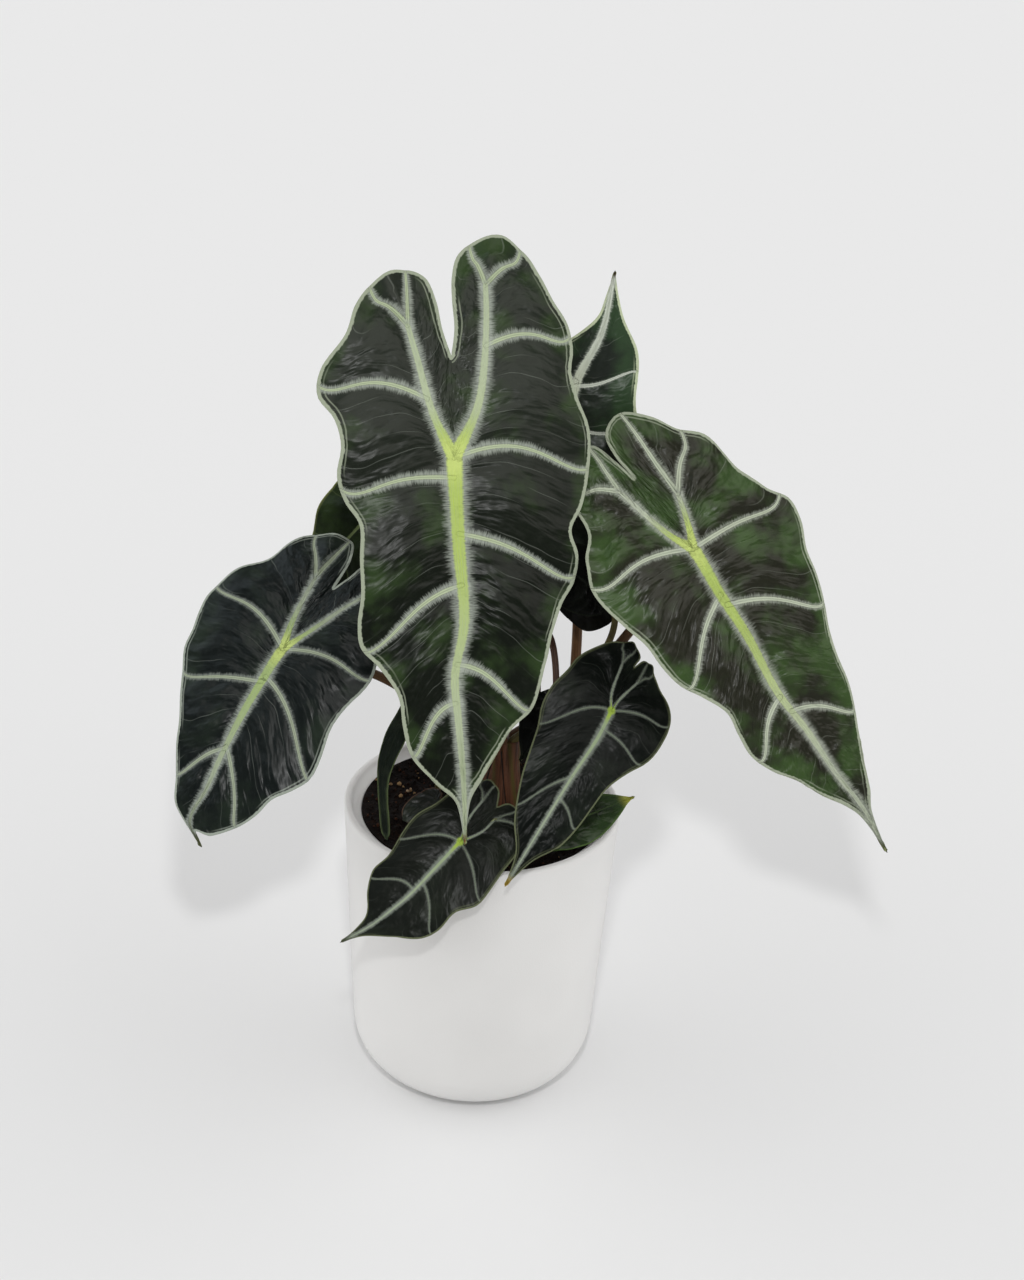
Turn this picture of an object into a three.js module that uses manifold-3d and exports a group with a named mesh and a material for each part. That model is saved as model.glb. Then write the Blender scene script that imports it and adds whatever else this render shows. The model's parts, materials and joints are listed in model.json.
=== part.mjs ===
// Potted alocasia polly: a plant with twelve leaves, rooted in soil in a round white pot.
// Millimetres, +Z up. The origin is the centre of the pot's underside, and -Y is the front.

import * as THREE from "three";
import { mergeVertices } from "three/addons/utils/BufferGeometryUtils.js";
import Module from "manifold-3d";

const manifold = await Module();
manifold.setup();

// Sizes of the pot, the soil and the plant's base
const POT = {
  rimRadius: 70,
  height: 157,
  footRadius: 61.75,
  footRound: 29,
  wall: 4.2,
  lip: 1.6,
  mouthRadius: 66,
  insideRadius: 61.3,
  ledge: 151.5,
  sides: 56,
};
const SOIL = {
  top: 152.2,
  clearance: 0.4,
  mound: 1.4,
  rings: 6,
  sides: POT.sides,
  holeDepth: 7,
  holeClearance: 0.5,
  holeSides: 20,
};
const CROWN = {
  centre: [9, 4],
  soilRadius: 12,
  neckRadius: 9.4,
  bottom: 139,
  top: 192,
  sides: 36,
  sheaths: 6,
  fluting: 0.09,
  twist: 0.012,
  hole: 13.6,
  stemRing: 6.1,
};

// Sizes that every leaf shares
const BLADE = {
  thickness: 0.9,
  smallThickness: 0.75,
  keel: 1.2,
  keelReach: 0.12,
  midribStep: 0.075,
  stemGap: 0.35,
};
const STEM_SIDES = 8;
const STEM_STEPS = 9;

// Outline of a young leaf on one side of its midrib, from the notch round the lobe to the tip.
// Each point is [along, out], as shares of the leaf's length and of its half width.
const YOUNG_OUTLINE = [
  [-0.22, 0], [-0.35, 0.13], [-0.42, 0.38], [-0.32, 0.66], [-0.12, 0.9], [0.1, 1],
  [0.3, 0.93], [0.5, 0.72], [0.7, 0.42], [0.86, 0.14], [1, 0],
];
const YOUNG_LOBE_VEIN = [[-0.14, 0.2], [-0.27, 0.36]];

// Two other outlines of the same kind, both with short lobes: a narrow leaf that is folded along
// its midrib and has a blunt tip, and a short leaf with a round end.
const NARROW_OUTLINE = [
  [-0.08, 0], [-0.13, 0.2], [-0.15, 0.5], [-0.08, 0.9], [0.06, 1.12], [0.25, 1], [0.4, 0.8],
  [0.58, 0.52], [0.76, 0.46], [0.93, 0.42], [1, 0],
];
const NARROW_LOBE_VEIN = [[-0.04, 0.2], [-0.09, 0.4]];
const ROUND_OUTLINE = [
  [-0.1, 0], [-0.2, 0.16], [-0.24, 0.42], [-0.2, 0.72], [-0.04, 0.95], [0.16, 1], [0.4, 0.98],
  [0.6, 0.9], [0.78, 0.72], [0.92, 0.42], [1, 0],
];
const ROUND_LOBE_VEIN = [[-0.05, 0.16], [-0.12, 0.35]];

// Rays of a young half leaf. Each row is [steps, vein place, edge place, bow], as in halfBlade.
// Those of a short-lobed leaf bow less.
const YOUNG_RAYS = [
  [0, 0, -1, 0],
  [2, 0.5, 0, 0],
  [2, 1, 2.1, 0],
  [1, 1, 2.9, 0],
  [2, 1.5, 3.9, 1],
  [2, 2, 5.1, 2],
  [3, 2.42, 7.1, 2],
  [3, 3, 10, 0],
];
const SHORT_LOBED_RAYS = YOUNG_RAYS.map(([steps, vein, edge, bow]) => [steps, vein, edge, bow * 0.4]);

// The leaves. hub is where the stem meets the blade, heading and dip aim the midrib from the hub
// to the tip, and roll turns the face about it. Bends are [length, degrees] arcs. Outlines and
// lobe veins are [along, out] in millimetres on the flat leaf, and drift is the midrib's own
// sideways wander, as [along, sideways].
const LEAVES = {
  centre: {
    hub: [-20, -22, 351], heading: -77, dip: 61, roll: 0, length: 182, rings: 4,
    tipBend: [[60, 5], [60, 7], [70, 8]], lobeBend: [[60, 8], [60, 14]], fold: -6, curl: [65, 14],
    puff: 2.6, wave: 1.8,
    drift: [[-110, 3], [-50, 2], [0, 0], [40, 0], [75, 1], [100, -4], [120, -3], [150, -1], [182, 0]],
    left: {
      outline: [
        [-47, 0], [-60, 4], [-74, 6], [-86, 10], [-90, 20], [-84, 34], [-73, 43], [-58, 49],
        [-44, 60], [-31, 62], [-20, 55], [-7, 52], [6, 54], [18, 51], [29, 45], [44, 46], [60, 47],
        [74, 49], [85, 46], [95, 35], [107, 27], [122, 26], [137, 23], [149, 14], [160, 4], [182, 0],
      ],
      lobeVein: [[-22, 10], [-49, 17], [-62, 20]],
      rays: [
        [0, 0, -1, 0], [3, 0.4, 0, 0], [4, 1, 3.9, 0], [2, 1, 5.2, 0], [4, 1.6, 8.6, 5],
        [3, 2, 12.5, 0], [4, 2.32, 18.2, 5], [4, 2.62, 22, 6], [4, 3, 25, 0],
      ],
    },
    right: {
      outline: [
        [-47, 0], [-60, 2], [-73, 2], [-86, 3], [-98, 7], [-105, 17], [-105, 30], [-97, 39],
        [-85, 44], [-73, 49], [-62, 56], [-50, 58], [-38, 56], [-25, 59], [-13, 64], [-1, 65],
        [12, 63], [24, 59], [35, 53], [47, 56], [59, 53], [69, 46], [81, 42], [94, 42], [107, 40],
        [118, 35], [126, 25], [136, 17], [147, 9], [159, 3], [182, 0],
      ],
      lobeVein: [[-22, 11], [-43, 15], [-64, 17], [-81, 18]],
      rays: [
        [0, 0, -1, 0], [3, 0.6, 0, 0], [3, 1, 4.6, 0], [2, 1, 6.7, 0], [3, 1.4, 10.5, 4],
        [3, 2, 15.6, 8], [3, 2.19, 19.8, 3], [4, 2.52, 25, 5], [5, 3, 30, 0],
      ],
    },
    stem: { place: 260, lean: [0, 0, 90], arrive: [4, 38, -24], radii: [2.85, 2.4] },
    colour: 0x1f3d22,
  },
  right: {
    hub: [93, -20, 311], heading: -27, dip: 45, roll: -40, length: 180, rings: 4,
    tipBend: [[60, 6], [60, 8], [60, 8]], lobeBend: [[50, 12], [50, 12]], fold: -6, curl: [50, 14],
    puff: 2.2, wave: 1.6,
    drift: [[-75, -2], [-43, -2], [0, 0], [22, -2], [48, -3], [77, -6], [102, -4], [128, -3], [153, 0], [180, 0]],
    left: {
      outline: [
        [-43, 0], [-56, 2], [-68, 5], [-68, 17], [-58, 26], [-47, 32], [-34, 35], [-25, 44],
        [-14, 50], [-2, 51], [11, 48], [23, 44], [36, 43], [48, 40], [59, 33], [71, 27], [83, 28],
        [96, 29], [108, 25], [119, 18], [131, 13], [142, 7], [155, 3], [180, 0],
      ],
      lobeVein: [[-11, 5], [-26, 8], [-42, 10]],
      rays: [
        [0, 0, -1, 0], [3, 0.5, 0, 0], [3, 1, 2.2, 0], [2, 1, 4, 0], [3, 1.5, 6.6, 2],
        [3, 2, 8.1, 4], [3, 2.14, 13.3, 3], [4, 2.45, 17.3, 3], [5, 3, 23, 0],
      ],
    },
    right: {
      outline: [
        [-43, 0], [-57, 0], [-69, 4], [-73, 16], [-62, 25], [-51, 32], [-41, 40], [-28, 42],
        [-15, 43], [-3, 47], [8, 55], [20, 54], [32, 48], [45, 46], [58, 43], [70, 38], [82, 34],
        [95, 31], [107, 27], [119, 21], [130, 15], [142, 9], [155, 3], [180, 0],
      ],
      lobeVein: [[-10, 5], [-25, 11]],
      rays: [
        [0, 0, -1, 0], [3, 0.5, 0, 0], [3, 1, 3, 0], [2, 1, 5.2, 0], [3, 1.5, 7.6, 2],
        [3, 2, 9.6, 0], [4, 2.17, 14, 3], [4, 2.5, 18.1, 3], [5, 3, 23, 0],
      ],
    },
    stem: { place: 20, lean: [37, 3, 23], arrive: [-14, 40, -48], radii: [2.85, 2.1] },
    colour: 0x223f24,
  },
  left: {
    hub: [-99, -20, 247], heading: -124, dip: 43, roll: 13, length: 103, rings: 4,
    tipBend: [[50, 8], [55, 20]], lobeBend: [[50, 16], [50, 16]], fold: -6, curl: [42, 14],
    puff: 2, wave: 1.2,
    drift: [[-70, 7], [-39, 6], [0, 0], [25, -2], [57, -3], [76, -3], [94, -5], [103, 4.5]],
    left: {
      outline: [
        [-39, 0], [-49, 1], [-59, 3], [-68, 8], [-67, 17], [-62, 28], [-52, 34], [-40, 39],
        [-30, 47], [-20, 51], [-10, 52], [0, 49], [9, 46], [19, 45], [29, 40], [40, 34], [52, 27],
        [64, 23], [76, 18], [87, 11], [95, 3], [103, 0],
      ],
      lobeVein: [[-18, 6], [-40, 11]],
      rays: [
        [0, 0, -1, 0], [3, 0.5, 0, 0], [2, 1, 3.2, 0], [2, 1, 4.8, 0], [2, 1.5, 7, 2],
        [3, 2, 9.4, 5], [3, 2.18, 14.1, 0], [4, 2.53, 18, 2], [4, 3, 21, 0],
      ],
    },
    right: {
      outline: [
        [-39, 0], [-48, 3], [-57, 5], [-60, 13], [-55, 22], [-47, 29], [-38, 34], [-29, 37],
        [-19, 41], [-9, 45], [1, 46], [12, 44], [25, 43], [38, 45], [50, 45], [59, 40], [67, 33],
        [76, 29], [87, 23], [95, 13], [97, 2.5], [103, 0],
      ],
      lobeVein: [[-14, 6], [-29, 11], [-41, 16]],
      rays: [
        [0, 0, -1, 0], [3, 0.5, 0, 0], [2, 1, 2.6, 0], [2, 1, 4.4, 0], [2, 1.5, 7, 2],
        [3, 2, 9.5, 4], [4, 2.15, 14.2, 6], [3, 2.52, 18, 3], [4, 3, 21, 0],
      ],
    },
    stem: { hole: [-9, 9], lean: [-12, 0, 72], arrive: [26, 14, -12], radii: [2.85, 2] },
    colour: 0x1b3320,
  },
  back: {
    hub: [23, 25, 319], heading: 44, dip: -70, roll: -45, length: 110, rings: 4,
    tipBend: [[60, -6], [48, -6]], lobeBend: [[50, 8], [50, 8]], fold: -6, curl: [42, 14],
    puff: 2, wave: 1,
    drift: [[-80, 0], [0, 0], [55, 1], [80, -3], [110, 0]],
    left: {
      outline: [
        [-30, 0], [-41, 9], [-51, 19], [-59, 29], [-63, 41], [-57, 51], [-43, 52], [-26, 51],
        [-8, 50], [8, 48], [22, 45], [36, 39], [50, 31], [64, 26], [77, 19], [89, 9], [99, 4],
        [110, 0],
      ],
      lobeVein: [[-22, 14], [-42, 29]],
      rays: [
        [0, 0, -1, 0], [2, 0.4, 0, 0], [3, 1, 3.2, 0], [2, 1, 4.8, 0], [3, 1.6, 6.6, 2],
        [2, 2, 8.6, 3], [3, 2.3, 11.2, 3], [3, 2.47, 13.2, 2], [4, 3, 17, 0],
      ],
    },
    right: {
      outline: [
        [-30, 0], [-45, 3], [-57, 10], [-61, 22], [-55, 35], [-43, 44], [-28, 48], [-10, 49],
        [8, 46], [22, 41], [34, 34], [46, 26], [57, 20], [67, 16], [77, 10], [87, 4], [98, 2],
        [110, 0],
      ],
      lobeVein: [[-24, 9], [-44, 17]],
      rays: [
        [0, 0, -1, 0], [2, 0.4, 0, 0], [3, 1, 2.8, 0], [2, 1, 4.2, 0], [3, 1.6, 5.8, 2],
        [2, 2, 7.8, 3], [3, 2.3, 10.2, 3], [3, 2.49, 12.9, 2], [4, 3, 17, 0],
      ],
    },
    stem: { hole: [42, 33], lean: [2, 5, 62], arrive: [27, 34, -38], radii: [2.85, 2.3] },
    colour: 0x2a3f2c,
  },
  low_right: {
    hub: [60, -35, 231], heading: -127, dip: 40, roll: 35, length: 98, rings: 3,
    tipBend: [[50, 8], [48, 8]], lobeBend: [[40, 16]], fold: -5, curl: [30, 12], puff: 0.9, wave: 0.8,
    drift: [[-40, -1], [-24, -1], [0, 0], [15, 1], [39, 0], [98, 0]],
    left: {
      outline: [
        [-25, 0], [-32, 0], [-36, 6], [-32, 13], [-25, 20], [-15, 26], [-5, 28], [5, 31], [15, 31],
        [25, 27], [36, 24], [48, 21], [59, 17], [70, 12], [82, 4], [98, 0],
      ],
      lobeVein: [[-8, 4], [-24, 6]],
      rays: [
        [0, 0, -1, 0], [2, 0.5, 0, 0], [2, 1, 1.6, 0], [1, 1, 2.6, 0], [2, 1.5, 4.2, 2],
        [2, 2, 8.9, 5], [4, 2.38, 12.3, 2], [3, 3, 15, 0],
      ],
    },
    right: {
      outline: [
        [-25, 0], [-31, 3], [-30, 8], [-24, 13], [-19, 21], [-11, 28], [0, 29], [11, 27], [22, 21],
        [33, 17], [45, 16], [57, 15], [69, 12], [81, 5], [98, 0],
      ],
      lobeVein: [[-7, 1], [-19, 5]],
      rays: [
        [0, 0, -1, 0], [2, 0.5, 0, 0], [2, 1, 1.4, 0], [1, 1, 2.4, 0], [2, 1.5, 3.6, 1],
        [2, 2, 5.2, 2], [3, 2.1, 7.3, 1], [4, 2.5, 11, 1], [3, 3, 14, 0],
      ],
    },
    stem: { hole: [40, -10], lean: [4, -2, 34], arrive: [-6, 20, -14], radii: [2.2, 1.7] },
    colour: 0x26302b,
  },
  low_front: {
    hub: [-9, -62, 170], heading: -148, dip: 27, roll: 35, length: 76, rings: 3,
    tipBend: [[40, 14], [35, 14]], lobeBend: [[40, 10]], fold: -5, curl: [30, 12], puff: 1, wave: 0.8,
    drift: [[-40, -4], [-25, -3], [0, 0], [12, 2], [34, 5], [46, 5], [59, 4], [76, 0]],
    left: {
      outline: [
        [-25, 0], [-31, 6], [-30, 13], [-23, 17], [-13, 21], [-2, 22], [9, 25], [20, 24], [31, 21],
        [41, 21], [49, 15], [56, 6], [65, 2.5], [76, 0],
      ],
      lobeVein: [[-10, 5], [-21, 7]],
      rays: [
        [0, 0, -1, 0], [2, 0.5, 0, 0], [2, 1, 1.4, 0], [1, 1, 2.4, 0], [2, 1.5, 4, 2],
        [2, 2, 7.2, 4], [3, 2.42, 9.4, 4], [3, 3, 13, 0],
      ],
    },
    right: {
      outline: [
        [-25, 0], [-31, 3], [-32, 11], [-28, 18], [-19, 23], [-8, 25], [3, 27], [13, 27], [23, 22],
        [34, 22], [44, 19], [53, 11], [64, 3], [76, 0],
      ],
      lobeVein: [[-11, 4], [-20, 4]],
      rays: [
        [0, 0, -1, 0], [2, 0.5, 0, 0], [2, 1, 1.6, 0], [1, 1, 2.6, 0], [2, 1.5, 4.2, 2],
        [2, 2, 6.7, 2], [3, 2.34, 9.4, 2], [3, 3, 13, 0],
      ],
    },
    stem: { hole: [1, -22], lean: [0, 0, 10], arrive: [4, 18, -15], radii: [2, 1.6] },
    colour: 0x26302b,
  },
  rim_right: {
    hub: [43, -33, 165], tip: [73, -15, 172], facing: [0.15, -0.6, 0.8], length: 41, halfWidth: 13,
    stem: { hole: [27, -28], lean: [3, -1, 8], arrive: [-8, 5, -4], radii: [1.6, 1.3] },
    colour: 0x3f5a22,
  },
  back_left: {
    hub: [-65, 42, 290], tip: [-99, 45, 247], facing: [-0.35, -0.75, 0.55], length: 56, halfWidth: 27,
    stem: { place: 140, lean: [-10, 6, 60], arrive: [14, 28, -22], radii: [2.6, 1.8] },
    colour: 0x22352a,
  },
  behind_right: {
    hub: [46, -1, 281], tip: [18, -8, 305], facing: [-0.1, -0.8, 0.6], length: 38, halfWidth: 16,
    stem: { place: 320, lean: [35, 2, 29], arrive: [37, 13, -17], radii: [2, 1.5] },
    colour: 0x1a241d,
  },
  inner: {
    hub: [33.5, -14, 215], tip: [17.5, -21, 192], facing: [0.1, -0.9, 0.4], length: 29, halfWidth: 15,
    stem: { hole: [30, 13], lean: [-15, 10, 126], arrive: [3, 24, 40], radii: [1.9, 1.6] },
    colour: 0x161d1a,
  },
  soil_left: {
    hub: [-37.5, -20, 216], tip: [-48.2, -49.5, 159.5], facing: [-0.35, -0.85, 0.35],
    length: 64, halfWidth: 5.4, outline: NARROW_OUTLINE, lobeVein: NARROW_LOBE_VEIN,
    drift: [[-10, 1], [0, 0], [16, -5], [34, -6.6], [54, -2.4], [64, 0]],
    stem: { hole: [-23, 6], lean: [0, 1, 31], arrive: [8, 18, 3], radii: [1.6, 1.2] },
    colour: 0x34413a,
  },
  seedling: {
    hub: [-22.5, -13, 163], tip: [-38.5, -27, 160], facing: [-0.2, -0.7, 0.7],
    length: 21, halfWidth: 8.2, outline: ROUND_OUTLINE, lobeVein: ROUND_LOBE_VEIN,
    stem: { hole: [-17, -6], lean: [0, 0, 4], arrive: [3, 3, -4], radii: [1.2, 1] },
    colour: 0x3b4739,
  },
};

const radians = THREE.MathUtils.degToRad;
const clamp = THREE.MathUtils.clamp;

// Walks a distance along a chain of arcs. Returns how far along and how far down it gets, and
// the turn there. first is the turn at the start.
function arcWalk(distance, arcs, first = 0) {
  let turn = radians(first);
  let along = 0;
  let drop = 0;
  let start = 0;
  let here = turn;
  for (const [length, degrees] of arcs) {
    const rate = radians(degrees) / length;
    const step = clamp(distance - start, 0, length);
    along += (Math.sin(turn + rate * step) - Math.sin(turn)) / rate;
    drop += (Math.cos(turn) - Math.cos(turn + rate * step)) / rate;
    here += rate * step;
    turn += rate * length;
    start += length;
  }
  const rest = Math.max(distance - start, 0);
  return { along: along + rest * Math.cos(turn), drop: drop + rest * Math.sin(turn), turn: here };
}

// A smooth curve through points at place u, where whole numbers are the points themselves.
function splineAt(points, u) {
  const last = points.length - 1;
  const i = clamp(Math.floor(u), 0, last - 1);
  const t = u - i;
  const p1 = points[i];
  const p2 = points[i + 1];
  const p0 = points[i - 1] ?? p1.map((v, k) => 2 * v - p2[k]);
  const p3 = points[i + 2] ?? p2.map((v, k) => 2 * v - p1[k]);
  return p1.map((v, k) => {
    const slope1 = (p2[k] - p0[k]) / 2;
    const slope2 = (p3[k] - p1[k]) / 2;
    const rise = p2[k] - v;
    return v + t * (slope1 + t * (3 * rise - 2 * slope1 - slope2 + t * (slope1 + slope2 - 2 * rise)));
  });
}

// The midrib's sideways wander at a place along the leaf, smooth through its [along, sideways] knots.
function driftAt(knots, a) {
  if (!knots) return 0;
  const last = knots.length - 1;
  const slope = (i) => {
    const lo = knots[Math.max(i - 1, 0)];
    const hi = knots[Math.min(i + 1, last)];
    return (hi[1] - lo[1]) / (hi[0] - lo[0]);
  };
  let i = knots.findIndex((knot) => knot[0] > a) - 1;
  if (a <= knots[0][0]) i = 0;
  if (a >= knots[last][0]) i = last - 1;
  const width = knots[i + 1][0] - knots[i][0];
  const t = clamp((a - knots[i][0]) / width, 0, 1);
  const rise = knots[i + 1][1] - knots[i][1];
  const slope1 = slope(i) * width;
  const slope2 = slope(i + 1) * width;
  return knots[i][1] + t * (slope1 + t * (3 * rise - 2 * slope1 - slope2 + t * (slope1 + slope2 - 2 * rise)));
}

// A small leaf's full description from its hub, tip, facing, length and half width.
function youngLeaf(spec) {
  const side = {
    outline: (spec.outline ?? YOUNG_OUTLINE).map(([a, out]) => [a * spec.length, out * spec.halfWidth]),
    lobeVein: (spec.lobeVein ?? YOUNG_LOBE_VEIN).map(([a, out]) => [a * spec.length, out * spec.halfWidth]),
    rays: spec.lobeVein ? SHORT_LOBED_RAYS : YOUNG_RAYS,
  };
  return {
    rings: 3,
    tipBend: [[spec.length / 2, 6], [spec.length / 2, 8]],
    lobeBend: [[spec.length / 2, 10]],
    fold: -5,
    curl: [spec.halfWidth, 12],
    puff: spec.halfWidth * 0.04,
    wave: spec.halfWidth * 0.03,
    left: side,
    right: side,
    ...spec,
  };
}

// The three directions of a blade at its hub: along the midrib to the tip, out of the upper face,
// and across to the right with the tip down.
function bladeFrame(leaf) {
  if (leaf.tip) {
    const along = new THREE.Vector3(...leaf.tip).sub(new THREE.Vector3(...leaf.hub)).normalize();
    const facing = new THREE.Vector3(...leaf.facing);
    const normal = facing.addScaledVector(along, -facing.dot(along)).normalize();
    return { along, normal, across: normal.clone().cross(along) };
  }
  const heading = radians(leaf.heading);
  const dip = radians(leaf.dip);
  const roll = radians(leaf.roll);
  const along = new THREE.Vector3(
    Math.cos(heading) * Math.cos(dip),
    Math.sin(heading) * Math.cos(dip),
    -Math.sin(dip),
  );
  const upward = new THREE.Vector3(
    Math.cos(heading) * Math.sin(dip),
    Math.sin(heading) * Math.sin(dip),
    Math.cos(dip),
  );
  const sideways = upward.clone().cross(along);
  const normal = upward.multiplyScalar(Math.cos(roll)).addScaledVector(sideways, Math.sin(roll));
  return { along, normal, across: normal.clone().cross(along) };
}

// The point of the bent blade at flat place (a, c), lifted off the upper face.
function bladePoint(leaf, frame, a, c, lift) {
  const walk = arcWalk(Math.abs(a), a >= 0 ? leaf.tipBend : leaf.lobeBend);
  const turn = a >= 0 ? walk.turn : -walk.turn;
  const across = arcWalk(Math.abs(c), [leaf.curl], leaf.fold);
  return new THREE.Vector3(...leaf.hub)
    .addScaledVector(frame.along, Math.sign(a) * walk.along)
    .addScaledVector(frame.normal, -walk.drop)
    .addScaledVector(frame.across, driftAt(leaf.drift, a) + Math.sign(c) * across.along)
    .addScaledVector(frame.normal, (lift - across.drop) * Math.cos(turn))
    .addScaledVector(frame.along, (lift - across.drop) * Math.sin(turn));
}

// Places down the midrib that both halves of a blade share, from 2 at the hub to 3 at the tip.
// They hold every rib of either half, with more between so that no step is too long.
function midribPlaces(leaf) {
  const ribs = [leaf.left, leaf.right].flatMap(({ rays }) => rays.map(([, vein]) => vein));
  const ties = [...new Set(ribs.filter((vein) => vein >= 2))].sort((p, q) => p - q);
  return ties.slice(1).flatMap((end, i) => {
    const steps = Math.ceil((end - ties[i]) / BLADE.midribStep - 1e-9);
    return Array.from({ length: steps }, (_, k) => ties[i] + ((end - ties[i]) * (k + 1)) / steps);
  });
}

// Stations of one half blade. vein runs 0 to 1 up the inner side of the lobe vein, 1 to 2 back
// down its outer side, and 2 to 3 along the midrib to the tip. edge runs -1 to 0 from the hub to
// the notch, then counts the outline's points to the tip. cell is the share of the way from the
// last rib to the next.
function stationsOf(rays, midrib) {
  const stations = [{ vein: rays[0][1], edge: rays[0][2], bow: 0 }];
  const ribStarts = [0];
  rays.slice(1).forEach(([steps, vein, edge, bow], i) => {
    const from = rays[i];
    const shares = vein > 2
      ? midrib.filter((v) => v > from[1] + 1e-9 && v < vein + 1e-9).map((v) => (v - from[1]) / (vein - from[1]))
      : Array.from({ length: steps }, (_, k) => (k + 1) / steps);
    for (const t of shares) {
      stations.push({
        vein: from[1] + (vein - from[1]) * t,
        edge: from[2] + (edge - from[2]) * t,
        bow: from[3] + (bow - from[3]) * t,
      });
    }
    if (edge !== 0) ribStarts.push(stations.length - 1);
  });
  stations.forEach((station) => (station.cell = 0));
  ribStarts.slice(1).forEach((end, i) => {
    const start = ribStarts[i];
    for (let k = start; k < end; k++) stations[k].cell = (k - start) / (end - start);
  });
  return stations;
}

// The flat place of a station's vein end.
function veinPlace(leaf, half, vein) {
  if (vein >= 2) return [(vein - 2) * leaf.length, 0];
  const spine = [[0, 0], ...half.lobeVein];
  return splineAt(spine, (vein <= 1 ? vein : 2 - vein) * (spine.length - 1));
}

// The flat place of a station's edge end.
function edgePlace(half, edge) {
  if (edge < 0) return [half.outline[0][0] * (1 + edge), 0];
  return splineAt(half.outline, edge);
}

// Adds one half of a blade's upper face to the sheet. Rings run from the veins to the edge.
function halfBlade(leaf, frame, side, sheet) {
  const half = side > 0 ? leaf.right : leaf.left;
  const stations = stationsOf(half.rays, midribPlaces(leaf));
  const rings = [0, BLADE.keelReach, ...Array.from({ length: leaf.rings - 1 },
    (_, i) => (i + 1) / (leaf.rings - 1))].sort((p, q) => p - q);
  const lastEdge = half.outline.length - 1;
  const ids = stations.map((station) => rings.map((r) => {
    const [veinA, veinOut] = veinPlace(leaf, half, station.vein);
    const [edgeA, edgeOut] = edgePlace(half, station.edge);
    const bend = 4 * station.bow * r * (1 - r);
    const a = veinA + (edgeA - veinA) * r - bend;
    const out = veinOut + (edgeOut - veinOut) * r;
    const edgeShare = clamp(station.edge / 1.5, 0, 1) * clamp((lastEdge - station.edge) / 2, 0, 1);
    const puff = leaf.puff * Math.sin(Math.PI * station.cell) * 4 * r * (1 - r) * edgeShare;
    const wave = -leaf.wave * r ** 3 * Math.cos(2 * Math.PI * station.cell) * edgeShare;
    const vein = station.vein <= 1 ? station.vein : 2 - station.vein;
    const keelShare = vein >= 0 ? 1 - 0.7 * vein : 1 - 0.8 * (station.vein - 2);
    const keel = BLADE.keel * keelShare * Math.max(0, 1 - r / BLADE.keelReach);
    let key = `${side}/${station.vein}/${station.edge}/${r}`;
    if (r === 0) key = station.vein >= 2 ? `midrib/${station.vein.toFixed(4)}` : `lobe${side}/${vein.toFixed(4)}`;
    if (r === 1 && station.edge <= 0) key = `notch/${station.edge.toFixed(4)}`;
    if (station.edge === -1 || (r === 0 && vein === 0)) key = "hub";
    if (station.vein === 3) key = "tip";
    return sheet.add(key, bladePoint(leaf, frame, a, side * out, puff + wave), keel);
  }));
  for (let k = 0; k + 1 < ids.length; k++) {
    for (let j = 0; j + 1 < rings.length; j++) {
      const corners = [ids[k][j], ids[k][j + 1], ids[k + 1][j + 1], ids[k + 1][j]];
      if (side > 0) corners.reverse();
      sheet.face(corners[0], corners[1], corners[2]);
      sheet.face(corners[0], corners[2], corners[3]);
    }
  }
}

// A welded sheet of triangles that becomes a thin closed solid.
class Sheet {
  constructor() {
    this.keys = new Map();
    this.points = [];
    this.keels = [];
    this.faces = [];
  }

  add(key, point, keel) {
    if (!this.keys.has(key)) {
      this.keys.set(key, this.points.length);
      this.points.push(point);
      this.keels.push(keel);
    }
    return this.keys.get(key);
  }

  face(p, q, r) {
    if (p !== q && q !== r && r !== p) this.faces.push([p, q, r]);
  }

  normals() {
    const sums = this.points.map(() => new THREE.Vector3());
    for (const [p, q, r] of this.faces) {
      const edge = this.points[q].clone().sub(this.points[p]);
      const turn = edge.cross(this.points[r].clone().sub(this.points[p]));
      for (const i of [p, q, r]) sums[i].add(turn);
    }
    return sums.map((sum) => sum.normalize());
  }

  // Doubles the sheet downwards by its thickness, with both faces cut into triangles alike.
  thicken(thickness) {
    const count = this.points.length;
    const normals = this.normals();
    const lower = this.points.map((point, i) =>
      point.clone().addScaledVector(normals[i], -thickness - this.keels[i]));
    const used = new Set(this.faces.flatMap(([p, q, r]) => [`${p},${q}`, `${q},${r}`, `${r},${p}`]));
    const index = [];
    for (const [p, q, r] of this.faces) {
      index.push(p, q, r, r + count, q + count, p + count);
      for (const [from, to] of [[p, q], [q, r], [r, p]]) {
        if (!used.has(`${to},${from}`)) {
          index.push(to, from, from + count, to, from + count, to + count);
        }
      }
    }
    const positions = [...this.points, ...lower].flatMap((point) => point.toArray());
    return geometryFrom(positions, index);
  }
}

function geometryFrom(positions, index) {
  const geometry = new THREE.BufferGeometry();
  geometry.setAttribute("position", new THREE.Float32BufferAttribute(positions, 3));
  geometry.setIndex(index);
  geometry.computeVertexNormals();
  return geometry;
}

function bladeThickness(leaf) {
  return leaf.rings > 3 ? BLADE.thickness : BLADE.smallThickness;
}

function bladeGeometry(leaf, frame) {
  const sheet = new Sheet();
  halfBlade(leaf, frame, 1, sheet);
  halfBlade(leaf, frame, -1, sheet);
  return sheet.thicken(bladeThickness(leaf));
}

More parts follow.
